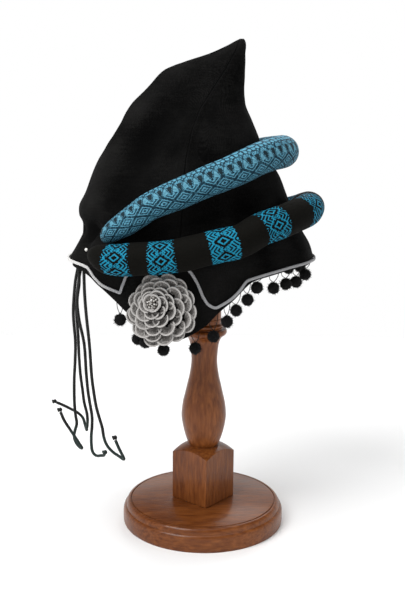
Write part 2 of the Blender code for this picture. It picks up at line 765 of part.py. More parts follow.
def make_flower_beads(frame):
    """The bead cluster stands on the top ring's middle."""
    radius, rim_height, petals, slip_back, slip_up = PETAL_RINGS[-1]
    whole = FLOWER_DIAMETER / 2
    squash = 0.7
    seat = FLOWER_HEIGHT * (rim_height - 0.155)
    centre = Vector((-slip_back * whole, slip_up * whole, seat + BEAD_DIAMETER / 2 * squash + GAP))
    bm = bmesh.new()
    bmesh.ops.create_uvsphere(bm, u_segments=10, v_segments=5, radius=BEAD_DIAMETER / 2)
    bmesh.ops.scale(bm, vec=(1, 1, squash), verts=bm.verts)
    bmesh.ops.translate(bm, vec=centre, verts=bm.verts)
    bmesh.ops.transform(bm, matrix=frame, verts=bm.verts)
    return add_object("flower_beads", finish_mesh("flower_beads", bm), GLASS_BEAD)


TAPE_INSET = UNDER_INSET + UNDER_CLOTH + LAYER_GAP


def thread_between(bm, start, end):
    """A thin three-sided thread, closed at both ends."""
    axis = (end - start).normalized()
    side = axis.orthogonal().normalized() * THREAD_DIAMETER / 2
    corners = [Matrix.Rotation(2 * pi * k / 3, 3, axis) @ side for k in range(3)]
    rings = [[bm.verts.new(p + corner) for corner in corners] for p in (start, end)]
    for k in range(3):
        n = (k + 1) % 3
        bm.faces.new((rings[0][k], rings[0][n], rings[1][n], rings[1][k]))
    bm.faces.new(list(reversed(rings[0])))
    bm.faces.new(rings[1])


def make_fringe():
    """A tape behind the under layer's edge, and pompoms that hang from it on threads, as one body."""
    bm = bmesh.new()
    angles = [angle for angle in COLUMNS if angle > angle_of(POMPOMS[0][0]) - 12]
    rows = []
    for inset in (TAPE_INSET, TAPE_INSET + TAPE_THICKNESS):
        for lift in (0.0005, 0.0005 + TAPE_WIDTH):
            rows.append([cloth_point(angle, under_hem(angle) + lift, inset) for angle in angles])
    loops = [rows[0], rows[1], rows[3], rows[2]]
    loops = [[*row, *[Vector((p.x, -p.y, p.z)) for p in reversed(row[:-1])]] for row in loops]
    verts = [[bm.verts.new(p) for p in row] for row in loops]
    for k in range(4):
        low = verts[k]
        high = verts[(k + 1) % 4]
        for j in range(len(low) - 1):
            bm.faces.new((low[j], low[j + 1], high[j + 1], high[j]))
    bm.faces.new([row[0] for row in verts])
    bm.faces.new([row[-1] for row in reversed(verts)])
    tape = add_object("pompom_fringe", finish_mesh("pompom_fringe", bm), BLACK_WOOL)

    radius = POMPOM_DIAMETER / 2
    balls = bmesh.new()
    for along, drop in POMPOMS:
        angle = angle_of(along)
        hold = TAPE_INSET + TAPE_THICKNESS / 2
        edge = between_columns(angle, lambda a: cloth_point(a, under_hem(a) + TAPE_WIDTH / 2, hold))
        centre = between_columns(angle, lambda a: cloth_point(a, under_hem(a), hold))
        centre.z -= drop * POMPOM_DIAMETER
        for side in (1, -1):
            middle = Vector((centre.x, side * centre.y, centre.z))
            made = bmesh.ops.create_uvsphere(balls, u_segments=6, v_segments=4, radius=radius)
            bmesh.ops.translate(balls, vec=middle, verts=made["verts"])
            top = Vector((edge.x, side * edge.y, edge.z))
            thread_between(balls, top, middle + Vector((0, 0, radius * 0.6)))
    hung = add_object("hung_balls", finish_mesh("hung_balls", balls), BLACK_WOOL, tools)
    union_with(tape, [hung])
    return tape


def make_nape_pearl():
    z = BRIM_HEIGHT + PEARL_RISE
    face = outward(hood_point, PEARL_ANGLE, z)
    centre = hood_point(PEARL_ANGLE, z) + face * (PEARL_DIAMETER / 2 + GAP)
    return ball("nape_pearl", centre, PEARL_DIAMETER, 8, 5, PEARL)


def make_cords():
    """Each cord is a tube from inside the nape to its knot."""
    for name, route in CORD_ROUTES.items():
        points = smooth_route(route, 3.4 * CORD_DIAMETER)
        tube(name, points, [CORD_DIAMETER / 2] * len(points), BLACK_CORD, 2)
        way = (points[-1] - points[-2]).normalized()
        centre = points[-1] + way * (KNOT_DIAMETER / 2 + GAP)
        ball(name.replace("cord", "cord_knot"), centre, KNOT_DIAMETER, 7, 4, BLACK_CORD)


# Stand
BLOCK_TOP = BASE_HEIGHT + GAP + BLOCK_HEIGHT
BALUSTER_TOP = BLOCK_TOP + BALUSTER_HEIGHT

# Baluster from its foot up: height as a share of BALUSTER_HEIGHT and radius as a share of the named
# diameter's half.
BALUSTER_PROFILE = (
    # height, share, of
    (0.000, 0.620, BALUSTER_DIAMETER),
    (0.035, 0.740, BALUSTER_DIAMETER),
    (0.120, 0.900, BALUSTER_DIAMETER),
    (0.235, 1.000, BALUSTER_DIAMETER),
    (0.300, 0.950, BALUSTER_DIAMETER),
    (0.380, 0.860, BALUSTER_DIAMETER),
    (0.460, 0.750, BALUSTER_DIAMETER),
    (0.540, 0.640, BALUSTER_DIAMETER),
    (0.630, 0.575, BALUSTER_DIAMETER),
    (0.720, 0.600, BALUSTER_DIAMETER),
    (0.780, 0.660, BALUSTER_DIAMETER),
    (0.815, 0.780, COLLAR_DIAMETER),
    (0.850, 1.000, COLLAR_DIAMETER),
    (0.872, 0.980, COLLAR_DIAMETER),
    (0.882, 1.060, NECK_DIAMETER),
    (0.905, 1.140, NECK_DIAMETER),
    (0.925, 1.000, NECK_DIAMETER),
)


def make_stand_base():
    """Turned disc: flat top, a quirk groove, a fillet and an ovolo rim."""
    rim = BASE_DIAMETER / 2
    quirk = QUIRK_DIAMETER / 2
    top = BASE_HEIGHT
    groove = 0.0012
    fillet = rim - 0.0030
    chamfer = 0.0008
    profile = [
        (0.0, top),
        (quirk, top),
        (quirk + 0.0005, top - groove),
        (quirk + 0.0014, top - 0.0003),
        (fillet - 0.0010, top - 0.0024),
        (fillet, top - 0.0060),
        (rim - 0.0007, top - 0.0085),
        (rim, top - 0.0125),
        (rim, chamfer),
        (rim - chamfer, 0.0),
        (0.0, 0.0),
    ]
    return turned("stand_base", profile, 36, STAINED_WOOD)


def make_stand_post():
    """Square block with turned shoulders under a baluster, collar and neck, as one turned piece."""
    corner = BLOCK_SIDE / sqrt(2)
    foot_radius = BALUSTER_PROFILE[0][1] * BALUSTER_PROFILE[0][2] / 2
    low = BASE_HEIGHT + GAP
    block_top = [
        (0.0, BLOCK_TOP),
        (foot_radius + 0.0015, BLOCK_TOP),
        (foot_radius + 0.35 * (corner - foot_radius), BLOCK_TOP - 0.22 * SHOULDER_RISE),
        (corner, BLOCK_TOP - SHOULDER_RISE),
        (corner + 0.002, BLOCK_TOP - 1.3 * SHOULDER_RISE),
        (corner + 0.002, low - 0.01),
        (0.0, low - 0.01),
    ]
    shoulders = turned("shoulder_cutter", block_top, 28, None, tools)
    bm = bmesh.new()
    bmesh.ops.create_cube(bm, size=1.0)
    tall = BLOCK_TOP + 0.004 - low
    bmesh.ops.scale(bm, vec=(BLOCK_SIDE, BLOCK_SIDE, tall), verts=bm.verts)
    bmesh.ops.translate(bm, vec=(0, 0, low + tall / 2), verts=bm.verts)
    bmesh.ops.rotate(bm, cent=(0, 0, 0), verts=bm.verts, matrix=Matrix.Rotation(radians(45 + BLOCK_TURN), 3, "Z"))
    post = add_object("stand_post", finish_mesh("stand_post", bm), STAINED_WOOD)
    cut = post.modifiers.new("turned_shoulders", "BOOLEAN")
    cut.operation = "INTERSECT"
    cut.solver = "EXACT"
    cut.object = shoulders

    outline = [(share * size / 2, BLOCK_TOP + BALUSTER_HEIGHT * height) for height, share, size in BALUSTER_PROFILE]
    neck_top = HEAD_LEVEL - HEAD_HEIGHT - GAP
    profile = [(0.0, neck_top), (NECK_DIAMETER / 2, neck_top)]
    profile += list(reversed(outline))
    profile += [(foot_radius, BLOCK_TOP - 0.004), (0.0, BLOCK_TOP - 0.004)]
    baluster = turned("baluster", profile, 18, None, tools)
    join = post.modifiers.new("baluster", "BOOLEAN")
    join.operation = "UNION"
    join.solver = "EXACT"
    join.object = baluster
    return post


# Head from its underside up: height as a share of HEAD_HEIGHT and radius as a share of its widest
HEAD_PROFILE = (
    # height, radius
    (0.00, 0.34),
    (0.30, 0.78),
    (0.70, 1.00),
    (1.00, 0.97),
    (1.25, 0.84),
    (1.48, 0.52),
    (1.60, 0.00),
)


def make_stand_head():
    """Mushroom head, as wide as the hood's hollow lets it be, so that the hat sits on it."""
    low = HEAD_LEVEL - HEAD_HEIGHT
    widest = 1.0
    for height, share in HEAD_PROFILE:
        if share == 0 or height == 0:
            continue
        z = low + height * HEAD_HEIGHT
        for k in range(61):
            inner = cloth_point(3.0 * k, z, HOOD_CLOTH)
            widest = min(widest, (hypot(inner.x, inner.y) - 2 * LAYER_GAP) / share)
    profile = [(widest * share, low + height * HEAD_HEIGHT) for height, share in reversed(HEAD_PROFILE)]
    profile.append((0.0, low))
    return turned("stand_head", profile, 20, STAINED_WOOD)


make_stand_base()
make_stand_post()
make_stand_head()
make_hood()
make_under_layer()
make_hem_braid()
make_roll("upper_roll", UPPER_ROLL_ROUTE, UPPER_ROLL_DIAMETER, UPPER_ROLL_FAR_RISE, BLUE_BROCADE)
make_roll("lower_roll", LOWER_ROLL_ROUTE, LOWER_ROLL_DIAMETER, LOWER_ROLL_FAR_RISE, BLACK_CLOTH)
make_flower_beads(make_flower())
make_fringe()
make_nape_pearl()
make_cords()
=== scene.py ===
from math import cos, pi, radians, sin, sqrt
from random import Random

import bmesh
import bpy
import numpy as np
from mathutils import Matrix, Vector, noise


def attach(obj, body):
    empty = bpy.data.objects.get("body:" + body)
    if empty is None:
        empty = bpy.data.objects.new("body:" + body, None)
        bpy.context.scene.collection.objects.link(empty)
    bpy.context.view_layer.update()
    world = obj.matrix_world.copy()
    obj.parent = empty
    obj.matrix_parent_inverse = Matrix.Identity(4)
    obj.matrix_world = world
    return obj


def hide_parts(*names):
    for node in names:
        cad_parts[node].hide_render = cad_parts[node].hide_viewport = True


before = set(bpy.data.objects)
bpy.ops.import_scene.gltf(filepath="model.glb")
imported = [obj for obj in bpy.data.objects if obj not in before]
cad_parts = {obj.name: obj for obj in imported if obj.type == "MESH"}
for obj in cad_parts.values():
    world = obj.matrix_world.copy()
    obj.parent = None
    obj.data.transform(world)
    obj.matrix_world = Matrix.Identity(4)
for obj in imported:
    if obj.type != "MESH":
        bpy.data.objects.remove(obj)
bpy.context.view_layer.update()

# The room and the camera. A pale floor in a bright even surround, with soft lamps high on the left and
# straight above and weaker ones on the right and behind. The camera stands a little above the padded
# rolls and looks slightly down, level with the stand's axis.
FLOOR_REACH = 0.8
CAMERA_PLACE = (-0.00238, -0.85, 0.3882)
CAMERA_DOWN = radians(10.904)
CAMERA_ROLL = radians(0.575)
LENS_MM = 53.58
# view height from and to, brightness from and to
SKY_FADE = (0.2, 0.5, 1.0, 0.12)
LAMPS = (
    # name, place, height aimed at, size, power
    ("key_lamp", (-0.8, -0.75, 1.45), 0.3, 0.9, 24), ("fill_lamp", (1.2, -0.8, 0.8), 0.3, 0.9, 1.5),
    ("top_lamp", (0.1, 0.1, 2.2), 0.0, 1.6, 24), ("rim_lamp", (0.3, 1.2, 1.2), 0.3, 0.8, 6))
stage = bpy.context.scene


class Wire:
    """A value in a material, so that shader maths reads as a plain expression."""

    def __init__(self, tree, socket):
        self.tree = tree
        self.socket = socket

    def make(self, kind, settings=None, values=None, out=0):
        """Adds a node: its settings first, then its inputs; gives one of its outputs."""
        node = self.tree.nodes.new(kind)
        for name, value in (settings or {}).items():
            if name == "stops":
                while len(node.color_ramp.elements) < len(value):
                    node.color_ramp.elements.new(0.5)
                for element, (place, colour) in zip(node.color_ramp.elements, value):
                    element.position = place
                    element.color = (*colour, 1)
            else:
                setattr(node, name, value)
        for name, value in (values or {}).items():
            if isinstance(value, Wire):
                self.tree.links.new(value.socket, node.inputs[name])
            else:
                node.inputs[name].default_value = value
        return Wire(self.tree, node.outputs[out])

    def maths(self, operation, *others):
        return self.make("ShaderNodeMath", {"operation": operation}, dict(enumerate((self, *others))))

    def __add__(self, other):
        return self.maths("ADD", other)

    def __sub__(self, other):
        return self.maths("SUBTRACT", other)

    def __mul__(self, other):
        return self.maths("MULTIPLY", other)

    def under(self, limit):
        """1 where the value is under the limit, else 0."""
        return self.maths("LESS_THAN", limit)

    def over(self, limit):
        return self.maths("GREATER_THAN", limit)

    def highest(self, other):
        return self.maths("MAXIMUM", other)

    def away(self, value):
        """How far it is from the given value."""
        return (self - value).maths("ABSOLUTE")

    def zigzag(self, period):
        """Distance to the nearest whole number of periods."""
        return self.maths("PINGPONG", period / 2)

    def snapped(self, thread):
        """The value in whole threads, so that a figure gets woven edges."""
        return self.maths("DIVIDE", thread).maths("FLOOR") * thread

    def mix(self, colour, other):
        """The first colour at 0, the other at 1."""
        first, second = (c if isinstance(c, Wire) else (*c, 1) for c in (colour, other))
        return self.make("ShaderNodeMix", {"data_type": "RGBA"}, {0: self, 6: first, 7: second}, 2)

    def ramp(self, *stops):
        """Colours at their places between 0 and 1."""
        return self.make("ShaderNodeValToRGB", {"stops": stops}, {0: self})

    def ranged(self, low, high, start=0.0, end=1.0, kind="LINEAR"):
        """Goes from start, at the low value, to end, at the high one."""
        return self.make("ShaderNodeMapRange", {"interpolation_type": kind},
                         {0: self, 1: low, 2: high, 3: start, 4: end})


class Finish:
    """A material with its Principled shader ready to be fed."""

    def __init__(self, name, colour, roughness, **fixed):
        self.material = bpy.data.materials.new(name)
        self.material.use_nodes = True
        self.tree = self.material.node_tree
        self.shader = self.tree.nodes["Principled BSDF"]
        self.shader.inputs["Base Color"].default_value = (*colour, 1)
        self.shader.inputs["Roughness"].default_value = roughness
        for name_of_input, value in fixed.items():
            self.shader.inputs[name_of_input.replace("_", " ")].default_value = value
        self.make = Wire(self.tree, None).make

    def place(self, axis, uv_map=None):
        """The place along an axis of a UV map, or of the object."""
        source = self.make("ShaderNodeUVMap", {"uv_map": uv_map}) if uv_map else self.make("ShaderNodeTexCoord", out=3)
        return self.make("ShaderNodeSeparateXYZ", None, {0: source}, axis)

    def stored(self, name):
        """A value that the mesh's points carry."""
        return self.make("ShaderNodeAttribute", {"attribute_name": name}, out=2)

    def specks(self, size, detail=2.0, stretch=(1, 1, 1), turn=0.0):
        """Soft noise of that feature size in metres, on the object's own coordinates."""
        place = self.make("ShaderNodeTexCoord", out=3)
        place = self.make("ShaderNodeMapping", None, {"Vector": place, "Scale": stretch, "Rotation": (0, turn, 0)})
        return self.make("ShaderNodeTexNoise", None, {"Vector": place, "Scale": 1 / size, "Detail": detail})

    def feed(self, name, wire):
        self.tree.links.new(wire.socket, self.shader.inputs[name])

    def relief(self, height, depth):
        """Bumps of that depth in metres where the height value goes from 0 to 1."""
        self.feed("Normal", self.make("ShaderNodeBump", None, {"Height": height, "Distance": depth, "Strength": 1.0}))


floor_mesh = bpy.data.meshes.new("floor")
floor_mesh.from_pydata([(x * FLOOR_REACH, y * FLOOR_REACH, 0) for x, y in ((-1, -1), (1, -1), (1, 1), (-1, 1))],
                       [], [(0, 1, 2, 3)])
floor_mesh.materials.append(Finish("pale_floor", (0.97, 0.97, 0.97), 1.0, Specular_IOR_Level=0.0).material)
floor = bpy.data.objects.new("floor", floor_mesh)
stage.collection.objects.link(floor)

room = bpy.data.worlds.new("pale_room")
room.use_nodes = True
air = Wire(room.node_tree, None)
height_of_view = air.make("ShaderNodeSeparateXYZ", None, {0: air.make("ShaderNodeTexCoord")}, 2)
brightness = height_of_view.ranged(*SKY_FADE)
background = room.node_tree.nodes["Background"]
background.inputs["Color"].default_value = (1.0, 1.0, 1.0, 1)
room.node_tree.links.new(brightness.socket, background.inputs["Strength"])
stage.world = room
stage.view_settings.view_transform = "Standard"

for name, place, aim, size, power in LAMPS:
    lamp = bpy.data.lights.new(name, "AREA")
    lamp.size = size
    lamp.energy = power
    holder = bpy.data.objects.new(name, lamp)
    stage.collection.objects.link(holder)
    holder.location = place
    holder.rotation_mode = "QUATERNION"
    holder.rotation_quaternion = (Vector((0, 0, aim)) - Vector(place)).to_track_quat("-Z", "Y")

lens = bpy.data.cameras.new("camera")
lens.lens = LENS_MM
lens.clip_start = 0.01
camera = bpy.data.objects.new("camera", lens)
camera.matrix_world = (Matrix.Translation(CAMERA_PLACE) @ Matrix.Rotation(pi / 2 - CAMERA_DOWN, 4, "X")
                       @ Matrix.Rotation(CAMERA_ROLL, 4, "Z"))
stage.collection.objects.link(camera)
stage.camera = camera


# The lacing cords. Four thin black cords leave the inside of the nape, hang down, and turn up again at
# their stiff ends, each stopped with a small knot. They are twisted yarn, so a fine slanted rib shows.
def shown(name, mesh, finish, slot, *nodes, smooth=True):
    """Puts a mesh in the scene with its finish, riding on the part and standing for its solids."""
    piece = bpy.data.objects.new(name, mesh)
    stage.collection.objects.link(piece)
    mesh.materials.append(finish.material)
    if smooth and hasattr(mesh, "shade_smooth"):
        mesh.shade_smooth()
    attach(piece, "root")
    if nodes:
        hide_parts(*nodes)
    return piece


def way_along(points, axis=0):
    """The length walked along rows of points, from 0 at the first."""
    steps = np.linalg.norm(np.diff(points, axis=axis), axis=-1)
    return np.concatenate([0 * steps.take([0], axis), np.cumsum(steps, axis)], axis)


def smooth_route(points, spacing):
    """Points at even spacing on a smooth curve through the given ones."""
    knots = [Vector(p) for p in points]
    ends = [2 * knots[0] - knots[1]] + knots + [2 * knots[-1] - knots[-2]]
    fine = []
    for a, b, c, d in zip(ends, ends[1:], ends[2:], ends[3:]):
        for step in range(ROUTE_STEPS):
            t = step / ROUTE_STEPS
            fine.append(0.5 * (2 * b + (c - a) * t + (2 * a - 5 * b + 4 * c - d) * t * t
                               + (3 * b - a - 3 * c + d) * t ** 3))
    fine.append(knots[-1])
    runs = way_along(fine)
    wanted = np.linspace(0, runs[-1], max(2, round(runs[-1] / spacing)) + 1)
    return [Vector([np.interp(run, runs, [p[k] for p in fine]) for k in range(3)]) for run in wanted]


def yarn(name, strands, thickness, resolution=2, closed=False):
    """Round yarn along one or more lines of points, as a curve."""
    curve = bpy.data.curves.new(name, "CURVE")
    curve.dimensions = "3D"
    curve.bevel_depth = thickness / 2
    curve.bevel_resolution = resolution
    curve.use_fill_caps = not closed
    for points in strands:
        spline = curve.splines.new("POLY")
        spline.points.add(len(points) - 1)
        spline.use_cyclic_u = closed
        for knot, place in zip(spline.points, points):
            knot.co = (*place, 1.0)
    return curve


ROUTE_STEPS = 12
CORD_DIAMETER = 0.0028
CORD_STEP = 0.0022
CORD_PLUMP = 1.07
KNOT_DIAMETER = 0.0048
KNOT_LOOP = 0.00062
KNOT_YARN = 0.0019
KNOT_POINTS = 48
RIB_PITCH = 0.0016
STIFF_BELOW = 0.098
CORD_ROUTES = {
    # x, y, z, in mm
    "cord_1": (
        (-121.5, -6, 266), (-121.9, -6, 256), (-124.8, -6, 240), (-127, -6, 212), (-125.5, -6, 184), (-126, -6, 165),
        (-127.2, -6, 146), (-127.5, -6, 128), (-127.2, -6, 116), (-126.5, -6, 108), (-125.5, -6, 100),
        (-127.5, -5, 92.5), (-128.5, -5, 86), (-126.5, -6, 80), (-122, -10, 76.5), (-119.5, -15, 78),
        (-121.5, -19, 84), (-126, -20, 92), (-131, -20, 100), (-135.5, -20, 107.5), (-139, -20, 116)),
    "cord_2": (
        (-120.5, 14, 266), (-120.9, 14, 256), (-124, 14, 240), (-126.8, 14, 212), (-125.5, 14, 184), (-125, 14, 165),
        (-124, 14, 146), (-122, 14, 128), (-120.5, 14, 115), (-118, 14, 104), (-117.5, 14, 95), (-118.5, 16, 88),
        (-119.5, 21, 84), (-121.5, 26, 87), (-124, 27, 95), (-129.5, 26, 101), (-136, 25, 105), (-143, 24, 109),
        (-150, 24, 112)),
    "cord_3": (
        (-118.2, -24, 266), (-118.2, -24, 256), (-118.4, -24, 243), (-120.5, -24, 227), (-119, -24, 209),
        (-114.5, -24, 185), (-113, -24, 157), (-111.5, -24, 138), (-109.5, -24, 124), (-108, -24, 113),
        (-108.2, -24, 103), (-109, -24, 94), (-109, -24, 85), (-108, -24, 77.5), (-104.5, -24, 73.5),
        (-100, -25, 74), (-96.5, -28, 75.5), (-95.5, -32, 79)),
    "cord_4": (
        (-112.2, -35, 266), (-112.2, -35, 252), (-111.8, -35, 234), (-110.5, -35, 214), (-108, -35, 186),
        (-106.5, -35, 158), (-104.5, -35, 140), (-102.5, -35, 127), (-99.5, -35, 115), (-97, -35, 106),
        (-95.5, -35, 96), (-92.5, -35, 88), (-87, -35, 81.5), (-81.5, -36, 78), (-77, -40, 76.5), (-75.5, -45, 79),
        (-77.5, -48, 85), (-80.5, -49, 92), (-83, -49, 98.5))}

cord_finish = Finish("black_cord", (0.006, 0.0055, 0.0055), 0.6, Specular_IOR_Level=0.25)
cord_height = cord_finish.place(2)
cord_rib = ((cord_height + cord_finish.specks(0.004) * 0.001) * (2 * pi / RIB_PITCH)).maths("SINE")
stiff_end = cord_height.under(STIFF_BELOW) * 0.75
cord_finish.feed("Base Color", (stiff_end + cord_finish.specks(0.006) * 0.2).mix(
    (0.0058, 0.005, 0.0048), (0.016, 0.03, 0.027)))
cord_finish.relief(cord_rib * 0.5 + 0.5, 0.0003)

for cord_name, cord_route in CORD_ROUTES.items():
    cord_points = smooth_route([[c / 1000 for c in point] for point in cord_route], CORD_STEP)
    knot_middle = cord_points[-1] + (cord_points[-1] - cord_points[-2]).normalized() * (KNOT_DIAMETER / 2 + 0.0003)
    knot_name = cord_name.replace("cord", "cord_knot")
    tied = [knot_middle + KNOT_LOOP * Vector((sin(t) + 2 * sin(2 * t), cos(t) - 2 * cos(2 * t), -1.6 * sin(3 * t)))
            for t in (2 * pi * k / KNOT_POINTS for k in range(KNOT_POINTS))]
    knot = shown(knot_name + "_tied", yarn(knot_name, [tied], KNOT_YARN, 2, closed=True), cord_finish, "black_cord",
                 knot_name)
    cord = shown(cord_name + "_twisted", yarn(cord_name, [cord_points], CORD_DIAMETER * CORD_PLUMP), cord_finish,
                 "black_cord", cord_name)
    round(float(way_along(cord_points)[-1]), 3)


# The hat stand. A turned foot with a quirk and an ovolo edge, a square block with turned shoulders, a
# baluster with a collar, and a mushroom head hidden in the hat. Stained hardwood under a satin varnish,
# its grain upright in the post and across the foot.
BASE_RADIUS = 0.08
BASE_HEIGHT = 0.0225
QUIRK_RADIUS = 0.0715
BLOCK_SIDE = 0.0437
BLOCK_TOP = 0.0783
BLOCK_STEPS = 30
BLOCK_TURN = radians(45 + 5.6)
SHOULDER_RISE = 0.0075
SHOULDER_START = 0.0152
NECK_TOP = 0.2967
BALUSTER = (
    # radius, height above the block, in mm
    (13.7, 0), (16.4, 4.7), (19.9, 16.2), (22.0, 28.0), (21.8, 36.5), (20.6, 45.0), (18.7, 53.0), (16.6, 62.1),
    (14.2, 72.9), (12.7, 85.1), (13.3, 97.2), (14.6, 105.3), (17.0, 110.0), (20.5, 112.8), (21.7, 114.8),
    (21.6, 116.8), (20.8, 118.0))
COLLAR_BEAD = ((17.0, 119.2), (18.2, 120.7), (18.3, 122.2), (17.2, 123.6))
NECK = ((16.0, 124.0), (16.0, 127.0), (16.6, 127.4), (16.6, 128.4), (16.0, 128.8))
WOOD_PALE = (0.255, 0.081, 0.018)
WOOD_DARK = (0.05, 0.0105, 0.002)


def stained_wood(name, stretch):
    wood = Finish(name, (0.18, 0.07, 0.025), 0.34, Specular_IOR_Level=0.2, Coat_Weight=0.16, Coat_Roughness=0.15)
    figure = wood.specks(0.035, 3.0, stretch)
    grain = wood.specks(0.0026, 5.0, stretch)
    pores = wood.specks(0.0014, 2.0, stretch).ramp((0.52, (0, 0, 0)), (0.62, (1, 1, 1)))
    tone = (figure * 0.45 + grain * 0.55).ramp((0.25, WOOD_DARK), (0.46, (0.138, 0.038, 0.0075)), (0.68, WOOD_PALE))
    wood.feed("Base Color", (pores * 0.2).mix(tone, WOOD_DARK))
    wood.feed("Roughness", grain * 0.25 + 0.22)
    wood.relief(grain * 0.5 + pores * -0.5, 0.00012)
    return wood


def as_mesh(bm, name):
    """The finished mesh of a bmesh, which ends there."""
    mesh = bpy.data.meshes.new(name)
    bm.to_mesh(mesh)
    bm.free()
    return mesh


def lathe(name, profile, steps):
    """A turned solid: (radius, height) from the top down, both ends on the axis."""
    bm = bmesh.new()
    rings = []
    for radius, height in dict.fromkeys((round(r, 6), round(z, 6)) for r, z in profile):
        if radius == 0:
            rings.append([bm.verts.new((0, 0, height))] * steps)
        else:
            rings.append([bm.verts.new((radius * cos(2 * pi * k / steps), radius * sin(2 * pi * k / steps), height))
                          for k in range(steps)])
    for upper, lower in zip(rings, rings[1:]):
        for k in range(steps):
            n = (k + 1) % steps
            bm.faces.new(list(dict.fromkeys((upper[k], lower[k], lower[n], upper[n]))))
    mesh = as_mesh(bm, name)
    mesh.shade_smooth()
    mesh.set_sharp_from_angle(angle=radians(35))
    return mesh


def profile_from(radius, height, points):
    """Profile points that are given in mm from a radius and a height."""
    return [(radius + r / 1000, height + z / 1000) for r, z in points]


def rounded(points):
    """A smooth curve through (radius, height) points of a profile."""
    return [(p.x, p.z) for p in smooth_route([(r, 0, z) for r, z in points], 0.0016)]


foot_profile = [(0, BASE_HEIGHT), (0.03, BASE_HEIGHT)]
foot_profile += profile_from(QUIRK_RADIUS, BASE_HEIGHT, ((-0.6, 0), (-0.1, -0.3), (0.2, -1.2), (0.8, -1.2)))
foot_profile += rounded(profile_from(QUIRK_RADIUS, BASE_HEIGHT, ((1.1, -0.3), (2.6, -0.5)))
                        + profile_from(BASE_RADIUS, BASE_HEIGHT, ((-4.2, -2.0), (-3.1, -4.6), (-3.0, -6.0))))
foot_profile += rounded(profile_from(BASE_RADIUS, BASE_HEIGHT, ((-2.2, -6.4), (-0.8, -8.0), (-0.1, -11.5), (0, -18.5))))
foot_profile += profile_from(BASE_RADIUS, 0, ((-0.2, 1.2), (-0.8, 0))) + [(0.04, 0), (0, 0)]
shown("turned_foot", lathe("turned_foot", foot_profile, 128), stained_wood("stained_wood_foot", (0.16, 1.0, 1.0)),
      "stained_wood", "stand_base", smooth=False)

post_wood = stained_wood("stained_wood_post", (1.0, 1.0, 0.13))
post_profile = profile_from(0, BLOCK_TOP, ((0, -4), (13.7, -4))) + rounded(profile_from(0, BLOCK_TOP, BALUSTER))
post_profile += profile_from(0, BLOCK_TOP, ((17.2, 118.3), (16.8, 118.8)))
post_profile += rounded(profile_from(0, BLOCK_TOP, COLLAR_BEAD)) + profile_from(0, BLOCK_TOP, NECK)
post_profile += [(0.016, NECK_TOP), (0, NECK_TOP)]

block = bmesh.new()
bmesh.ops.create_grid(block, x_segments=BLOCK_STEPS, y_segments=BLOCK_STEPS, size=BLOCK_SIDE / 2)
for vert in block.verts:
    share = (vert.co.length - SHOULDER_START) / (BLOCK_SIDE / sqrt(2) - SHOULDER_START)
    vert.co.z = BLOCK_TOP - SHOULDER_RISE * max(0.0, share) ** 1.35
walls = bmesh.ops.extrude_edge_only(block, edges=[edge for edge in block.edges if edge.is_boundary])["geom"]
for vert in walls:
    if isinstance(vert, bmesh.types.BMVert):
        vert.co.z = BASE_HEIGHT + 0.0003
bmesh.ops.holes_fill(block, edges=[edge for edge in block.edges if edge.is_boundary])
bmesh.ops.rotate(block, cent=(0, 0, 0), matrix=Matrix.Rotation(BLOCK_TURN, 3, "Z"), verts=block.verts)
bmesh.ops.recalc_face_normals(block, faces=block.faces)
block.from_mesh(lathe("turned_baluster", post_profile[::-1], 96))
post_mesh = as_mesh(block, "turned_post")
post_mesh.shade_smooth()
post_mesh.set_sharp_from_angle(angle=radians(35))
post = shown("turned_post", post_mesh, post_wood, "stained_wood", "stand_post", smooth=False)
soft_edges = post.modifiers.new("eased_edges", "BEVEL")
soft_edges.width = 0.0005
soft_edges.segments = 2
soft_edges.limit_method = "ANGLE"
soft_edges.angle_limit = radians(60)
soft_edges.harden_normals = True
post.modifiers.new("joined_edges", "WELD").merge_threshold = 0.00001
head_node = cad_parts["stand_head"]
head_node.data.materials.clear()
head_node.data.materials.append(post_wood.material)


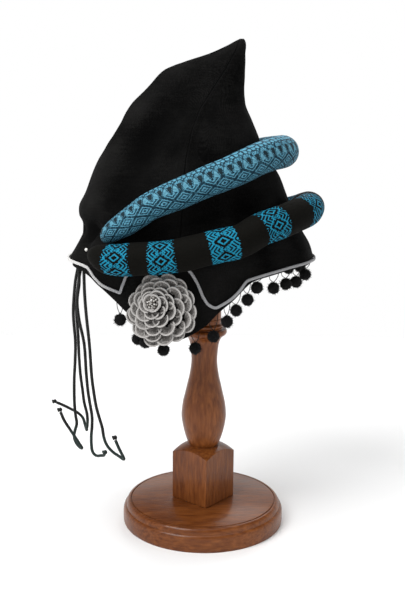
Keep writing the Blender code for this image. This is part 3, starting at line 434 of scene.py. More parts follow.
# The hood. One cone of black woven wool, cut in two halves that meet in a seam down each side, pulled
# forward to a bent peak. Its hem drops in an ear at the cheek and a smaller one behind, with a notch
# between them. Under its own weight the cloth falls in soft hollows, and a pleat is tucked at the nape.
BRIM_HEIGHT = 0.265
HOOD_HEIGHT = 0.204
HOOD_BACK = 0.132
HOOD_FRONT = 0.103
HOOD_HALF_WIDTH = 0.076
HOOD_CLOTH = 0.002
EAR_DROP = 0.034
FOLD_DEPTH = 0.008
UNDER_DROP = 0.065
HOOD_TOP = BRIM_HEIGHT + HOOD_HEIGHT
SIDE_GAP = 0.0002
SECTIONS = np.array((
    # height, back, front, side, widest, back_round, front_round
    (-0.35, 0.97, 0.985, 1.01, 0.5, 2.3, 2.3), (0.0, 0.98, 1.0, 1.0, 0.5, 2.3, 2.3),
    (0.05, 0.942, 0.98, 0.975, 0.5, 2.3, 2.2), (0.09, 0.908, 0.945, 0.95, 0.5, 2.2, 2.1),
    (0.12, 0.888, 0.912, 0.93, 0.5, 2.2, 2.1), (0.16, 0.886, 0.868, 0.905, 0.5, 2.1, 2.0),
    (0.2, 0.908, 0.824, 0.875, 0.5, 2.0, 2.0), (0.24, 0.9, 0.787, 0.845, 0.5, 2.0, 2.0),
    (0.29, 0.864, 0.752, 0.8, 0.51, 1.9, 2.0), (0.35, 0.835, 0.703, 0.745, 0.52, 1.8, 1.9),
    (0.41, 0.8, 0.645, 0.685, 0.53, 1.7, 1.8), (0.48, 0.74, 0.53, 0.605, 0.53, 1.6, 1.8),
    (0.56, 0.67, 0.478, 0.52, 0.55, 1.5, 1.7), (0.64, 0.588, 0.41, 0.435, 0.59, 1.4, 1.7),
    (0.72, 0.497, 0.345, 0.35, 0.64, 1.4, 1.6), (0.8, 0.394, 0.332, 0.268, 0.69, 1.3, 1.6),
    (0.86, 0.303, 0.332, 0.2, 0.73, 1.3, 1.6), (0.9, 0.15, 0.332, 0.155, 0.7, 1.3, 1.6),
    (0.935, -0.015, 0.334, 0.115, 0.66, 1.4, 1.6), (0.965, -0.12, 0.34, 0.078, 0.62, 1.5, 1.7),
    (0.985, -0.18, 0.338, 0.045, 0.58, 1.6, 1.8), (1.0, -0.225, 0.322, 0.0, 0.5, 2.0, 2.0)))
HEMS = np.array((
    # along, hood_drop, under_drop
    (0.0, 0.0, 0.077), (0.047, 0.015, 0.092), (0.094, 0.07, 0.158), (0.127, 0.33, 0.255),
    (0.16, 0.51, 0.34), (0.205, 0.62, 0.47), (0.233, 0.67, 0.56), (0.247, 0.44, 0.605),
    (0.262, 0.2, 0.65), (0.285, 0.0, 0.725), (0.37, -0.11, 0.94), (0.413, -0.12, 0.985),
    (0.468, -0.1, 0.96), (0.491, 0.02, 0.926), (0.519, 0.31, 0.868), (0.545, 0.705, 0.81),
    (0.566, 0.91, 0.754), (0.596, 1.0, 0.64), (0.626, 0.91, 0.54), (0.664, 0.735, 0.43),
    (0.694, 0.518, 0.32), (0.719, 0.294, 0.23), (0.74, 0.245, 0.17), (0.813, 0.118, 0.097),
    (0.902, 0.0, 0.037), (1.0, -0.06, 0.011)))
FOLDS = (
    # place, height, reach, depth
    (-0.15, 0.7, 0.07, 0.4), (-0.3, 0.635, 0.075, 0.75), (-0.405, 0.56, 0.08, 0.9),
    (-0.455, 0.47, 0.08, 0.9), (-0.52, 0.37, 0.08, 0.7), (-0.59, 0.28, 0.075, 0.4),
    (-0.64, 0.42, 0.09, -0.5), (-0.5, 0.68, 0.08, -0.3), (-0.78, 0.255, 0.07, -0.45),
    (-0.78, 0.158, 0.036, 1.0), (-0.835, 0.125, 0.034, 0.8), (-0.86, 0.185, 0.028, 0.35),
    (-0.765, 0.088, 0.03, -0.25), (0.08, 0.23, 0.05, 0.2), (0.26, 0.27, 0.045, 0.25),
    (0.43, 0.27, 0.035, -0.22), (0.52, 0.25, 0.032, 0.22))
SEAM = np.array(((0.0285, 0.466), (0.026, 0.458), (0.017, 0.441), (0.006, 0.424), (-0.006, 0.405), (-0.013, 0.386),
                 (-0.018, 0.361), (-0.021, 0.33), (-0.022, 0.3), (-0.022, 0.255), (-0.022, 0.2)))


def smooth_read(table, column, at):
    """Reads a table's column between its rows with a monotone cubic."""
    xs = table[:, 0]
    ys = table[:, column]
    step = np.diff(ys) / np.diff(xs)
    both = step[:-1] * step[1:]
    inner = np.where(both > 0, 2 * both / np.where(both > 0, step[:-1] + step[1:], 1), 0)
    slope = np.concatenate([[step[0]], inner, [step[-1]]])
    at = np.clip(at, xs[0], xs[-1])
    i = np.clip(np.searchsorted(xs, at) - 1, 0, len(xs) - 2)
    width = xs[i + 1] - xs[i]
    t = (at - xs[i]) / width
    return (ys[i] * (1 + 2 * t) * (1 - t) ** 2 + ys[i + 1] * t * t * (3 - 2 * t)
            + width * (slope[i] * t * (1 - t) ** 2 - slope[i + 1] * t * t * (1 - t)))


def along_hem(angle):
    c = np.cos(np.radians(angle))
    return 0.5 - 0.5 * np.sign(c) * np.abs(c) ** (2 / 2.3)


def hood_hem(angle):
    return BRIM_HEIGHT - EAR_DROP * smooth_read(HEMS, 1, along_hem(angle))


def under_hem(angle):
    return BRIM_HEIGHT - UNDER_DROP * smooth_read(HEMS, 2, along_hem(angle))


def on_middle(angle):
    """True on the line where the near half of the hood meets the far one."""
    return (angle <= 0) | (angle >= 180)


def own_half(points, angle):
    """Keeps the points on the near side, and those of the middle line on that line."""
    points[..., 1] = np.where(on_middle(angle), 0, np.minimum(points[..., 1], -SIDE_GAP))
    return points


def cone(angle, z):
    """The near half of the plain cone, as an array of points."""
    h = (z - BRIM_HEIGHT) / HOOD_HEIGHT
    back, front, side, widest, back_round, front_round = [smooth_read(SECTIONS, k, h) for k in range(1, 7)]
    x_back = -HOOD_BACK * back
    x_front = HOOD_FRONT * front
    x_middle = x_back + widest * (x_front - x_back)
    c = np.cos(np.radians(angle))
    s = np.clip(np.sin(np.radians(angle)), 0, 1)
    power = np.where(c > 0, 2 / back_round, 2 / front_round)
    x = x_middle + np.where(c > 0, x_back - x_middle, x_front - x_middle) * np.abs(c) ** power
    y = np.where(on_middle(angle), 0, -HOOD_HALF_WIDTH * side * s ** power)
    return np.stack([x, y, z + 0 * x], -1)


def facing(surface, angle, z):
    """Unit vectors out of the surface."""
    across = surface(np.clip(angle + 1, 0, 180), z) - surface(np.clip(angle - 1, 0, 180), z)
    up = surface(angle, np.minimum(z + 0.001, HOOD_TOP)) - surface(angle, z - 0.001)
    ahead = np.where(angle <= 0, -1, 1)
    level = np.stack([ahead * up[..., 2], 0 * angle, -ahead * up[..., 0]], -1)
    normal = np.where(on_middle(angle)[..., None], level, np.cross(across, up))
    return normal / np.maximum(np.linalg.norm(normal, axis=-1, keepdims=True), 1e-9)


def fold_share(x, z):
    """How far the folds press the cloth in at a place: 1 for a full fold's depth, below 0 on a bulge."""
    depth = 0 * x
    for along, height, reach, share in FOLDS:
        away = (x - along * HOOD_BACK) ** 2 + (z - BRIM_HEIGHT - height * HOOD_HEIGHT) ** 2
        depth = depth + share * np.exp(-away / (reach * HOOD_HEIGHT) ** 2)
    return depth


def folded(angle, z):
    """The near half of the hood's outer face, with its hollows and bulges."""
    place = cone(angle, z)
    depth = np.where(on_middle(angle), 0, FOLD_DEPTH * fold_share(place[..., 0], z))
    return own_half(place - facing(cone, angle, z) * depth[..., None], angle)


def cloth_rows(columns, bottom, level, top, rows_below, rows_above):
    """Angles and heights of a grid that follows the hem below a level and lies level above it."""
    angle = np.tile(columns, (rows_below + rows_above, 1))
    hem = bottom(columns)
    low = hem + np.linspace(0, 1, rows_below, endpoint=False)[:, None] * (level - hem)
    high = np.tile(np.linspace(level, top, rows_above)[:, None], (1, len(columns)))
    return angle, np.concatenate([low, high])


def wrinkle(points, size, height):
    """Small creases of the cloth: how far each point stands proud."""
    soft = [noise.noise(Vector(p) / size) for p in points.reshape(-1, 3)]
    return height * np.array(soft).reshape(points.shape[:-1])


def cut_edge(outer, inner):
    """The edge between two layers of cloth, as a grid of three rows."""
    return np.stack([outer, (outer + inner) / 2, inner])


def two_halves(name, sheets):
    """Joins grids of the near half, and their mirror images, into one cloth with its weave map."""
    verts, faces, weave = [], [], []
    for grid, turned_in in sheets:
        rows, cols = grid.shape[:2]
        run = way_along(grid, 1)
        rise = way_along(grid, 0)
        for side in (1, -1):
            first = len(verts)
            verts.extend((p[0], side * p[1], p[2]) for p in grid.reshape(-1, 3))
            weave.extend(zip(side * run.ravel(), rise.ravel()))
            for i in range(rows - 1):
                for j in range(cols - 1):
                    a = first + i * cols + j
                    face = (a, a + 1, a + cols + 1, a + cols)
                    faces.append(face if (side > 0) != turned_in else face[::-1])
    mesh = bpy.data.meshes.new(name)
    mesh.from_pydata(verts, [], faces)
    layer = mesh.uv_layers.new(name="weave")
    order = np.empty(len(mesh.loops), int)
    mesh.loops.foreach_get("vertex_index", order)
    layer.data.foreach_set("uv", np.array(weave, np.float32)[order].ravel())
    bm = bmesh.new()
    bm.from_mesh(mesh)
    bmesh.ops.remove_doubles(bm, verts=bm.verts, dist=0.00002)
    bm.to_mesh(mesh)
    bm.free()
    return mesh


def places(mesh):
    """The mesh's points as an array."""
    place = np.empty(len(mesh.vertices) * 3)
    mesh.vertices.foreach_get("co", place)
    return place.reshape(-1, 3)


def store(mesh, name, values):
    mesh.attributes.new(name, "FLOAT", "POINT").data.foreach_set("value", values.astype(np.float32))


def store_hollows(mesh):
    """How far each point lies in a hollow of the cloth, for painted shade in the hollows and a painted highlight on the
    bulges.
    """
    place = places(mesh)
    soft = np.array([noise.noise(Vector((p[0] * 30, p[1] * 30, p[2] * 14))) for p in place])
    store(mesh, "hollow", fold_share(place[:, 0], place[:, 2]) * 0.9 - 0.12 + soft * 0.55)


def store_seam(mesh):
    """Each point's distance from the side seam, ahead of it or behind, and the way along it."""
    place = places(mesh)[:, (0, 2)]
    best = np.full(len(place), 9.0)
    away, run, walked = 0 * best, 0 * best, 0.0
    for a, b in zip(SEAM, SEAM[1:]):
        leg = b - a
        length = np.hypot(*leg)
        t = np.clip(((place - a) @ leg) / length ** 2, 0, 1)
        offset = place - a - t[:, None] * leg
        distance = np.hypot(offset[:, 0], offset[:, 1])
        closer = distance < best
        away = np.where(closer, distance * np.sign(leg[0] * offset[:, 1] - leg[1] * offset[:, 0]), away)
        run = np.where(closer, walked + t * length, run)
        best = np.minimum(best, distance)
        walked += length
    store(mesh, "seam_away", away)
    store(mesh, "seam_run", run)


ROWS_BELOW, ROWS_ABOVE, INSIDE_END = 24, 92, 108
hood_columns = np.concatenate([np.linspace(0, 50, 30, endpoint=False), np.linspace(50, 112, 76, endpoint=False),
                               np.linspace(112, 180, 42)])
hood_angle, hood_z = cloth_rows(hood_columns, hood_hem, BRIM_HEIGHT + 0.09 * HOOD_HEIGHT,
                                BRIM_HEIGHT + 0.992 * HOOD_HEIGHT, ROWS_BELOW, ROWS_ABOVE)
hood_out = folded(hood_angle, hood_z)
hood_normal = facing(folded, hood_angle, hood_z)
slack = wrinkle(hood_out * np.array((1.0, 1.0, 0.5)), 0.03, 0.0022) + wrinkle(hood_out, 0.012, 0.0005)
slack = slack * np.clip((hood_columns * (180 - hood_columns)) / 400, 0, 1)
hood_out = hood_out + hood_normal * slack[..., None]
ridge_back, ridge_front = (cone(np.array([end]), np.array([HOOD_TOP]))[0, 0] for end in (0.0, 180.0))
ridge_x = (ridge_back + ridge_front) / 2 - (ridge_front - ridge_back) / 2 * np.cos(np.radians(hood_columns))
ridge = np.stack([ridge_x, 0 * ridge_x, HOOD_TOP + 0 * ridge_x], -1)
inner_ridge = np.stack([ridge_x * 0.9 + 0.003, 0 * ridge_x, HOOD_TOP - 0.009 + 0 * ridge_x], -1)
inside_rows = [*range(0, ROWS_BELOW, 4), *range(ROWS_BELOW, INSIDE_END, 6)]
hood_inner = own_half((hood_out - hood_normal * HOOD_CLOTH)[inside_rows], hood_columns)
hood_outer = np.concatenate([hood_out, ridge[None]])
hood_inner = np.concatenate([hood_inner, inner_ridge[None]])
hood_mesh = two_halves("cone_hood", [(hood_outer, False), (hood_inner, True),
                                     (cut_edge(hood_outer[0], hood_inner[0]), True)])

CLOTH_BLACK = (0.0007, 0.0007, 0.0007)
CLOTH_WORN = (0.0072, 0.007, 0.0067)
SEAM_STITCH = 0.0042


def woven_black(name, pitch, seam=False):
    """Matt black wool: an over-and-under weave, a little dust grey, a soft nap, painted shade in the hollows and a
    painted highlight on the bulges.
    """
    cloth = Finish(name, CLOTH_BLACK, 0.86, Sheen_Weight=0.008, Sheen_Roughness=0.3, Specular_IOR_Level=0.04)
    warp, weft = ((cloth.place(axis, "weave") * (2 * pi / pitch)).maths("SINE") for axis in (0, 1))
    crossing = warp * weft
    fluff = cloth.specks(0.0011, 3.0)
    blotch = cloth.specks(0.03, 3.0)
    slub = cloth.specks(1.0, 2.0, (80, 80, 800), -0.12) * 0.6 + cloth.specks(1.0, 2.0, (800, 800, 80), -0.12) * 0.4
    tone = blotch * 0.35 + fluff * 0.35 + slub * 0.3 + crossing * 0.08
    height = crossing * 0.3 + fluff * 0.6 + slub * 1.2
    colour = tone.ranged(0.43, 0.6).mix(CLOTH_BLACK, CLOTH_WORN)
    hollow = cloth.stored("hollow")
    # Painted shade: darker where the cloth lies in a hollow; painted highlight: lighter where it bulges out.
    colour = hollow.maths("MINIMUM", 0.85).mix(colour, (0.0006, 0.0006, 0.0006))
    colour = (hollow * -1.0).maths("MINIMUM", 0.55).mix(colour, (0.0125, 0.0122, 0.0118))
    if seam:
        near = cloth.stored("seam_away")
        line = near.away(0.0)
        groove = line.ranged(0.0, 0.0011, 1.0, 0.0, "SMOOTHSTEP")
        flank = near.over(0.0) * near.ranged(0.0, 0.006, 1.0, 0.0, "SMOOTHSTEP")
        stitches = line.away(0.0032).under(0.0004) * cloth.stored("seam_run").zigzag(SEAM_STITCH).under(0.0013)
        height = height - groove * 4.0 + flank * 2.0 + stitches * 1.2
        colour = (groove * 0.8).mix(colour, (0.003, 0.003, 0.003))
    cloth.feed("Base Color", colour)
    cloth.feed("Roughness", fluff * 0.15 + 0.78)
    cloth.relief(height, 0.00022)
    return cloth


store_seam(hood_mesh)
store_hollows(hood_mesh)
shown("cone_hood", hood_mesh, woven_black("black_wool_cloth", 0.0012, seam=True), "black_cloth", "hood")


# The under layer. A second, thinner black cloth tacked inside the hood. Its point hangs below the
# hood's notch at each side, and the pompoms are sewn along its edge.
UNDER_INSET = 0.0026
UNDER_CLOTH = 0.0015
under_columns = np.linspace(0, 180, 110)
under_angle, under_z = cloth_rows(under_columns, under_hem, BRIM_HEIGHT, BRIM_HEIGHT + 0.009, 22, 4)
under_face = folded(under_angle, under_z)
under_normal = facing(folded, under_angle, under_z)
under_wave = wrinkle(under_face * np.array((1.0, 1.0, 0.4)), 0.022, 0.001)
under_wave = under_wave * np.clip((BRIM_HEIGHT - under_z) / 0.02, 0, 1)
under_outer, under_inner = (own_half(under_face - under_normal * (inset + under_wave[..., None] * 0.5), under_columns)
                            for inset in (UNDER_INSET, UNDER_INSET + UNDER_CLOTH))
under_mesh = two_halves("under_cloth", [
    (under_outer, False), (under_inner, True), (cut_edge(under_outer[0], under_inner[0]), True),
    (cut_edge(under_outer[-1], under_inner[-1]), False)])
store_hollows(under_mesh)
shown("under_cloth", under_mesh, woven_black("black_lining_cloth", 0.0008), "black_lining", "under_layer")


# The hem braid. A narrow flat braid of three grey strands, laid on the hood's outer face and sewn down
# all round its hem, round the ears and through the notches.
BRAID_WIDTH = 0.0026
BRAID_STRAND = 0.00125
BRAID_PITCH = 0.0054
BRAID_PROUD = 0.0014


def loop_on_hem(lift, proud, step):
    """Evenly spaced points, outward vectors and in-cloth vectors all round the hem."""
    angle = np.linspace(0, 180, 900)
    hem = hood_hem(angle)
    near = folded(angle, hem)
    out = facing(folded, angle, hem)
    way = np.gradient(near, axis=0)
    rise = np.cross(out, way / np.linalg.norm(way, axis=-1, keepdims=True))
    rise = rise * np.sign(rise[:, 2:3] + 1e-6)
    line = near + rise * lift + out * proud
    line[(0, -1), 1] = 0
    whole = [np.concatenate([a, (a * (1, -1, 1))[-2:0:-1]]) for a in (line, out, rise)]
    run = way_along(np.vstack([whole[0], whole[0][:1]]))
    count = round(run[-1] / step)
    wanted = np.arange(count) * run[-1] / count
    read = [np.stack([np.interp(wanted, run, np.append(a[:, k], a[0, k])) for k in range(3)], -1) for a in whole]
    return *read, wanted, run[-1]


braid_line, braid_out, braid_rise, braid_run, braid_length = loop_on_hem(BRAID_WIDTH / 2, BRAID_PROUD, 0.0008)
braid_turns = round(braid_length / BRAID_PITCH)
braid_strands = []
for strand in range(3):
    phase = 2 * pi * (braid_run / braid_length * braid_turns + strand / 3)
    sway = (BRAID_WIDTH / 2 - BRAID_STRAND / 2 + 0.00015) * np.sin(phase)
    lap = 0.00042 * np.sin(2 * phase)
    braid_strands.append(braid_line + braid_rise * sway[:, None] + braid_out * lap[:, None])
braid_finish = Finish("grey_braid", (0.3, 0.3, 0.31), 0.75, Sheen_Weight=0.08, Specular_IOR_Level=0.2)
braid_grey = braid_finish.specks(0.0009).mix((0.22, 0.22, 0.23), (0.42, 0.42, 0.43))
pale_nape = braid_finish.place(0).ranged(-0.125, -0.08, 0.75, 0.0)
braid_finish.feed("Base Color", pale_nape.mix(braid_grey, (0.74, 0.73, 0.71)))
braid_finish.relief(braid_finish.specks(0.0005), 0.0001)
shown("plaited_hem_braid", yarn("plaited_hem_braid", braid_strands, BRAID_STRAND, 1, closed=True), braid_finish,
      "grey_braid", "hem_braid")


# The padded rolls. Two tubes of cloth stuffed with wadding, sewn to the hood along their inner side from
# one side of the nape round the front to the other. The upper one is a blue brocade; the lower one is
# black with woven blue patches of nested diamonds.
UPPER_LINE = (
    # x, y, z, radius, in mm
    (-88.9, -56.5, 289.5, 3.4), (-88.6, -59.0, 290.7, 5.5), (-87.0, -62.0, 293.4, 7.8), (-79.7, -66.3, 299.4, 10.2),
    (-70.2, -69.9, 305.4, 11.4), (-58.3, -72.4, 314.1, 12.1), (-49.0, -73.2, 320.8, 12.7), (-35.4, -73.5, 327.0, 13.2),
    (-18.6, -72.7, 334.1, 13.7), (-1.3, -69.6, 341.6, 14.0), (17.7, -63.4, 349.0, 14.3), (34.5, -54.1, 356.2, 14.5),
    (48.3, -42.6, 362.1, 14.8), (59.6, -30.1, 365.4, 15.1), (68.4, -15.6, 366.7, 15.3), (71.8, 0.0, 367.3, 15.5),
    (68.1, 15.6, 367.0, 15.3), (59.1, 30.0, 365.9, 15.1), (47.8, 42.4, 362.8, 14.8), (34.2, 53.9, 356.9, 14.5),
    (17.6, 63.2, 349.5, 14.3), (-1.4, 69.5, 342.0, 14.0), (-18.5, 72.6, 334.4, 13.7), (-35.3, 73.4, 327.2, 13.2),
    (-49.0, 73.1, 321.0, 12.7), (-58.3, 72.4, 314.2, 12.1), (-70.2, 69.9, 305.4, 11.4), (-79.7, 66.3, 299.5, 10.2),
    (-87.0, 62.0, 293.4, 7.8), (-88.6, 59.0, 290.7, 5.5), (-88.9, 56.5, 289.5, 3.4))
LOWER_LINE = (
    (-100.3, -56.9, 276.6, 3.8), (-99.9, -60.0, 276.7, 6.1), (-97.3, -65.1, 276.4, 8.8), (-92.7, -71.3, 275.8, 11.5),
    (-85.9, -77.0, 275.1, 13.6), (-75.9, -81.8, 274.7, 14.5), (-56.4, -86.3, 276.6, 14.8), (-40.2, -88.4, 277.8, 15.0),
    (-17.9, -89.0, 281.4, 15.0), (9.5, -86.3, 288.1, 15.0), (30.1, -81.8, 292.5, 15.0), (47.9, -72.3, 301.6, 15.0),
    (66.1, -60.1, 306.8, 15.0), (81.5, -43.9, 311.4, 15.0), (93.1, -24.2, 314.2, 15.0), (97.7, 0.0, 315.6, 15.0),
    (94.3, 24.3, 311.9, 15.0), (84.1, 44.3, 307.0, 15.0), (68.4, 60.4, 303.3, 15.0), (50.9, 74.1, 295.7, 15.0),
    (30.9, 82.7, 288.6, 15.0), (9.9, 87.0, 285.4, 15.0), (-18.3, 89.5, 278.9, 15.0), (-40.6, 88.8, 276.3, 15.0),
    (-56.9, 86.6, 275.2, 14.8), (-76.3, 82.1, 273.4, 14.5), (-86.2, 77.1, 274.4, 13.6), (-92.9, 71.4, 275.4, 11.5),
    (-97.4, 65.1, 276.3, 8.8), (-99.9, 60.0, 276.7, 6.1), (-100.3, 56.9, 276.6, 3.8))

ROLL_STEP = 0.004
ROLL_SIDES = 28
ROLL_LUMPS = 0.035
ROLL_DIMPLES = 0.018
ROLL_GIRTH = 0.0148
MOST_PUFFED = 0.0012
PUFF_FRAMES = 20


def stuffed_roll(name, line, finish, slot, node, seed):
    """A cloth tube round the line, blown up by its wadding while its inner seam is held."""
    table = np.array(line) / 1000
    middle = smooth_route(table[:, :3], ROLL_STEP)
    runs = way_along(table[:, :3])
    wanted = np.linspace(0, runs[-1], len(middle))
    radius = np.interp(wanted, runs, table[:, 3])
    bm = bmesh.new()
    pattern = bm.loops.layers.uv.new("pattern")
    rings = []
    for k, place in enumerate(middle):
        way = (middle[min(k + 1, len(middle) - 1)] - middle[max(k - 1, 0)]).normalized()
        out = Vector((place.x + 0.014, place.y, 0.01))
        out = (out - way * out.dot(way)).normalized()
        up = way.cross(out).normalized()
        up = up if up.z > 0 else -up
        lumpy = radius[k] * (1 + ROLL_LUMPS * noise.noise(Vector((wanted[k] * 55, seed, 0.3)))) * 0.985
        ring = []
        for turn in (2 * pi * side / ROLL_SIDES + pi for side in range(ROLL_SIDES)):
            dimple = noise.noise(Vector((wanted[k] * 80, cos(turn) * 1.5 + seed, sin(turn) * 1.5)))
            r = lumpy * (1 + ROLL_DIMPLES * dimple)
            ring.append(bm.verts.new(place + (out * cos(turn) + up * sin(turn)) * r))
        rings.append(ring)
    tips = []
    for end, inner in ((0, 1), (-1, -2)):
        way = (middle[end] - middle[inner]).normalized()
        tips.append(bm.verts.new(middle[end] + way * radius[end] * 0.7))
    corner = rings[0][0].co
    mirrored = (rings[0][1].co - corner).cross(rings[1][0].co - corner).dot(corner - middle[0]) < 0
    panels = []
    for k in range(len(rings) - 1):
        for side in range(ROLL_SIDES):
            panel = [(rings[i][j % ROLL_SIDES], wanted[i], j)
                     for i, j in ((k, side), (k, side + 1), (k + 1, side + 1), (k + 1, side))]
            panels.append(panel[::-1] if mirrored else panel)
    for end, flip in ((0, mirrored), (-1, not mirrored)):
        for side in range(ROLL_SIDES):
            pair = (side, side + 1) if flip else (side + 1, side)
            panels.append([(rings[end][j % ROLL_SIDES], wanted[end], side) for j in pair]
                          + [(tips[end], wanted[end], side)])
    for panel in panels:
        face = bm.faces.new([vert for vert, run, turn in panel])
        for loop, (vert, run, turn) in zip(face.loops, panel):
            loop[pattern].uv = (run, (2 * pi * turn / ROLL_SIDES - pi) * ROLL_GIRTH)
    mesh = as_mesh(bm, name)
    roll = shown(name, mesh, finish, slot, node)
    start = places(mesh)
    held = [k * ROLL_SIDES + s for k in range(len(rings)) for s in (0, 1, ROLL_SIDES - 1)]
    roll.vertex_groups.new(name="sewn_seam").add([*held, len(start) - 2, len(start) - 1], 1.0, "REPLACE")
    cloth = roll.modifiers.new("wadding", "CLOTH")
    for setting, value in (("quality", 5), ("vertex_group_mass", "sewn_seam"), ("use_pressure", True),
                           ("uniform_pressure_force", 4), ("tension_stiffness", 20),
                           ("compression_stiffness", 12), ("bending_stiffness", 0.3)):
        setattr(cloth.settings, setting, value)
    cloth.settings.effector_weights.gravity = 0
    cloth.collision_settings.use_collision = False
    for step in range(1, PUFF_FRAMES + 1):
        stage.frame_set(step)
    moved = places(roll.evaluated_get(bpy.context.evaluated_depsgraph_get()).to_mesh()) - start
    far = np.linalg.norm(moved, axis=-1, keepdims=True)
    moved = moved * np.minimum(1.0, MOST_PUFFED / np.maximum(far, 1e-9))
    roll.modifiers.remove(cloth)
    mesh.vertices.foreach_set("co", (start + moved).astype(np.float32).ravel())
    mesh.update()
    stage.frame_set(1)
    smoother = roll.modifiers.new("smooth_cloth", "SUBSURF")
    smoother.levels = smoother.render_levels = 1
    return roll


REPEAT = 0.0172
LEAF_MIDDLE = 0.0042
LEAF_ROOT = 0.0002
FAN_MIDDLE = 0.0078
BROCADE_THREAD = 0.00055
brocade = Finish("blue_brocade", (0.08, 0.26, 0.35), 0.7, Sheen_Weight=0.025, Sheen_Roughness=0.4,
                 Specular_IOR_Level=0.12)
run_s, round_a = (brocade.place(axis, "pattern").snapped(BROCADE_THREAD) for axis in (0, 1))
beside_leaf = run_s.zigzag(REPEAT / 2)
leaf_flare = round_a - LEAF_ROOT
leaf_bulge = (round_a - LEAF_MIDDLE) * (round_a - LEAF_MIDDLE) * -30 + 0.0006
leaf_band = round_a.away(LEAF_MIDDLE).under(0.0036)
leaf = beside_leaf.under(leaf_flare * 0.25 + leaf_bulge) * leaf_band
leaf_frame = (beside_leaf - leaf_flare * 0.3).away(0.0011).under(0.00035) * leaf_band
pale_leaves = beside_leaf.over(leaf_flare * 0.3 + 0.0014) * leaf_band
lattice_near = (run_s + round_a * 1.3).zigzag(REPEAT).maths("MINIMUM", (run_s - round_a * 1.3).zigzag(REPEAT))
lattice = lattice_near.under(0.0019).highest(lattice_near.away(0.0043).under(0.00105))
diamond_dots = lattice_near.over(0.007)
fan_reach = (beside_leaf * beside_leaf * 1.6 + (round_a - FAN_MIDDLE) * (round_a - FAN_MIDDLE)).maths("SQRT")
fan_rays = beside_leaf.maths("ARCTAN2", round_a - 0.007).zigzag(0.52).under(0.085)
fans = fan_reach.zigzag(0.0052).under(0.00085).highest(fan_rays) * round_a.over(0.0075)
dark_lines = (lattice.highest(diamond_dots) * round_a.under(0.0006)).highest(fans).highest(leaf_frame)
dark_lines = dark_lines.highest(lattice * leaf_band * 0.35)
ribbing = brocade.specks(0.0014, 2.0)
worn = brocade.specks(0.0026, 2.0).ranged(0.32, 0.52, 0.66, 1.0)
ground = ribbing.mix((0.01, 0.105, 0.175), (0.165, 0.45, 0.6))
ground = (pale_leaves * 0.25).mix(ground, (0.2, 0.48, 0.6))
lined = (dark_lines * worn * 0.97).mix(ground, (0.0012, 0.014, 0.026))
brocade.feed("Base Color", (leaf * 0.93).mix(lined, (0.0012, 0.003, 0.0045)))
brocade.relief(ribbing * 0.5 - leaf * 0.6 - dark_lines * 0.5, 0.0003)
stuffed_roll("brocade_roll", UPPER_LINE, brocade, "blue_brocade", "upper_roll", 1.7)

PATCHES = (
    # middle along the roll, half width, where the diamond sits round it, in mm
    (38.0, 10.5, 2.0), (76.0, 11.0, -3.5), (128.0, 12.0, 4.5), (177.0, 11.5, 1.5), (233.0, 14.0, 6.0),
    (290.0, 13.5, 2.0), (340.0, 13.0, -2.0), (390.0, 12.5, 4.0), (440.0, 11.5, 0.0), (484.0, 10.5, 3.0))
DIAMOND_RISE = 0.015
DIAMOND_REACH = 0.0068
PATCH_THREAD = 0.0006
patched = Finish("black_with_blue_patches", CLOTH_BLACK, 0.82, Sheen_Weight=0.008, Sheen_Roughness=0.3,
                 Specular_IOR_Level=0.05)
run_s, round_a = (patched.place(axis, "pattern").snapped(PATCH_THREAD) for axis in (0, 1))
blue_figure = None
for middle, half, shift in (np.array(PATCHES) / 1000).tolist():
    across = run_s.away(middle)
    beside = (round_a - shift).zigzag(DIAMOND_RISE)
    diamond = across * (DIAMOND_RISE / 2 / (half * 0.8)) + beside
    rings = (diamond + 0.0011).zigzag(0.0042).under(0.00082) * diamond.under(DIAMOND_REACH)
    comb = (across - beside).zigzag(0.0036).under(0.00072)
    comb = comb.highest((across + beside - 0.0006).zigzag(0.0084).under(0.0006)) * diamond.over(DIAMOND_REACH)
    ragged = across + (round_a.zigzag(0.0024) - 0.0006) * 1.3
    figure = rings.highest(comb) * ragged.under(half)
    blue_figure = figure if blue_figure is None else blue_figure.highest(figure)
patched_fluff = patched.specks(0.0012, 3.0)
patched_ground = patched_fluff.mix((0.0014, 0.0013, 0.001), (0.0066, 0.0062, 0.005))
patched_blue = patched_fluff.mix((0.004, 0.11, 0.2), (0.017, 0.3, 0.46))
patched.feed("Base Color", blue_figure.mix(patched_ground, patched_blue))
patched.feed("Roughness", blue_figure * -0.25 + 0.82)
patched.relief(patched_fluff * 0.4 + blue_figure * 0.8, 0.0003)
stuffed_roll("patched_roll", LOWER_LINE, patched, "black_cloth", "lower_roll", 6.1)


# The crochet flower. Rings of scalloped petals in pale grey yarn, each petal a small cupped fan with a
# thick chain round its rim, stacked on one another and tilted a little on the near side of the hat.
# the flower's own axes and its middle, on the hat
FLOWER_SEAT = Matrix(((0.9703, 0.03784, -0.23894, -0.0375), (-0.24192, 0.15179, -0.95835, -0.0788),
                      (0.0, 0.98769, 0.15643, 0.23002), (0, 0, 0, 1)))
FLOWER_RADIUS = 0.032
FLOWER_HEIGHT = 0.014
PETAL_RINGS = (
    # radius, base, rim_height, petals, turn, slip_back, slip_up
    (1.0, 0.02, 0.2, 13, 0.0, 0.0, 0.0),
    (0.93, 0.14, 0.4, 12, 0.5, 0.01, 0.01),
    (0.75, 0.28, 0.58, 10, 0.2, 0.04, 0.05),
    (0.57, 0.42, 0.76, 8, 0.6, 0.09, 0.1),
    (0.4, 0.56, 0.9, 6, 0.1, 0.14, 0.15),
    (0.25, 0.66, 1.0, 4, 0.4, 0.18, 0.2))
FAN_COLUMNS, FAN_ROWS = 17, 9
CHAIN_RADIUS = 0.00074
CHAIN_STEP = 0.0009
CHAIN_SIDES = 7
PETAL_CLOTH = 0.0007
chance = Random(11)
flower = bmesh.new()
rims = bmesh.new()
rims_store = rims.verts.layers.float.new("rim")
rim_store = flower.verts.layers.float.new("rim")
rib_store = flower.verts.layers.float.new("rib")
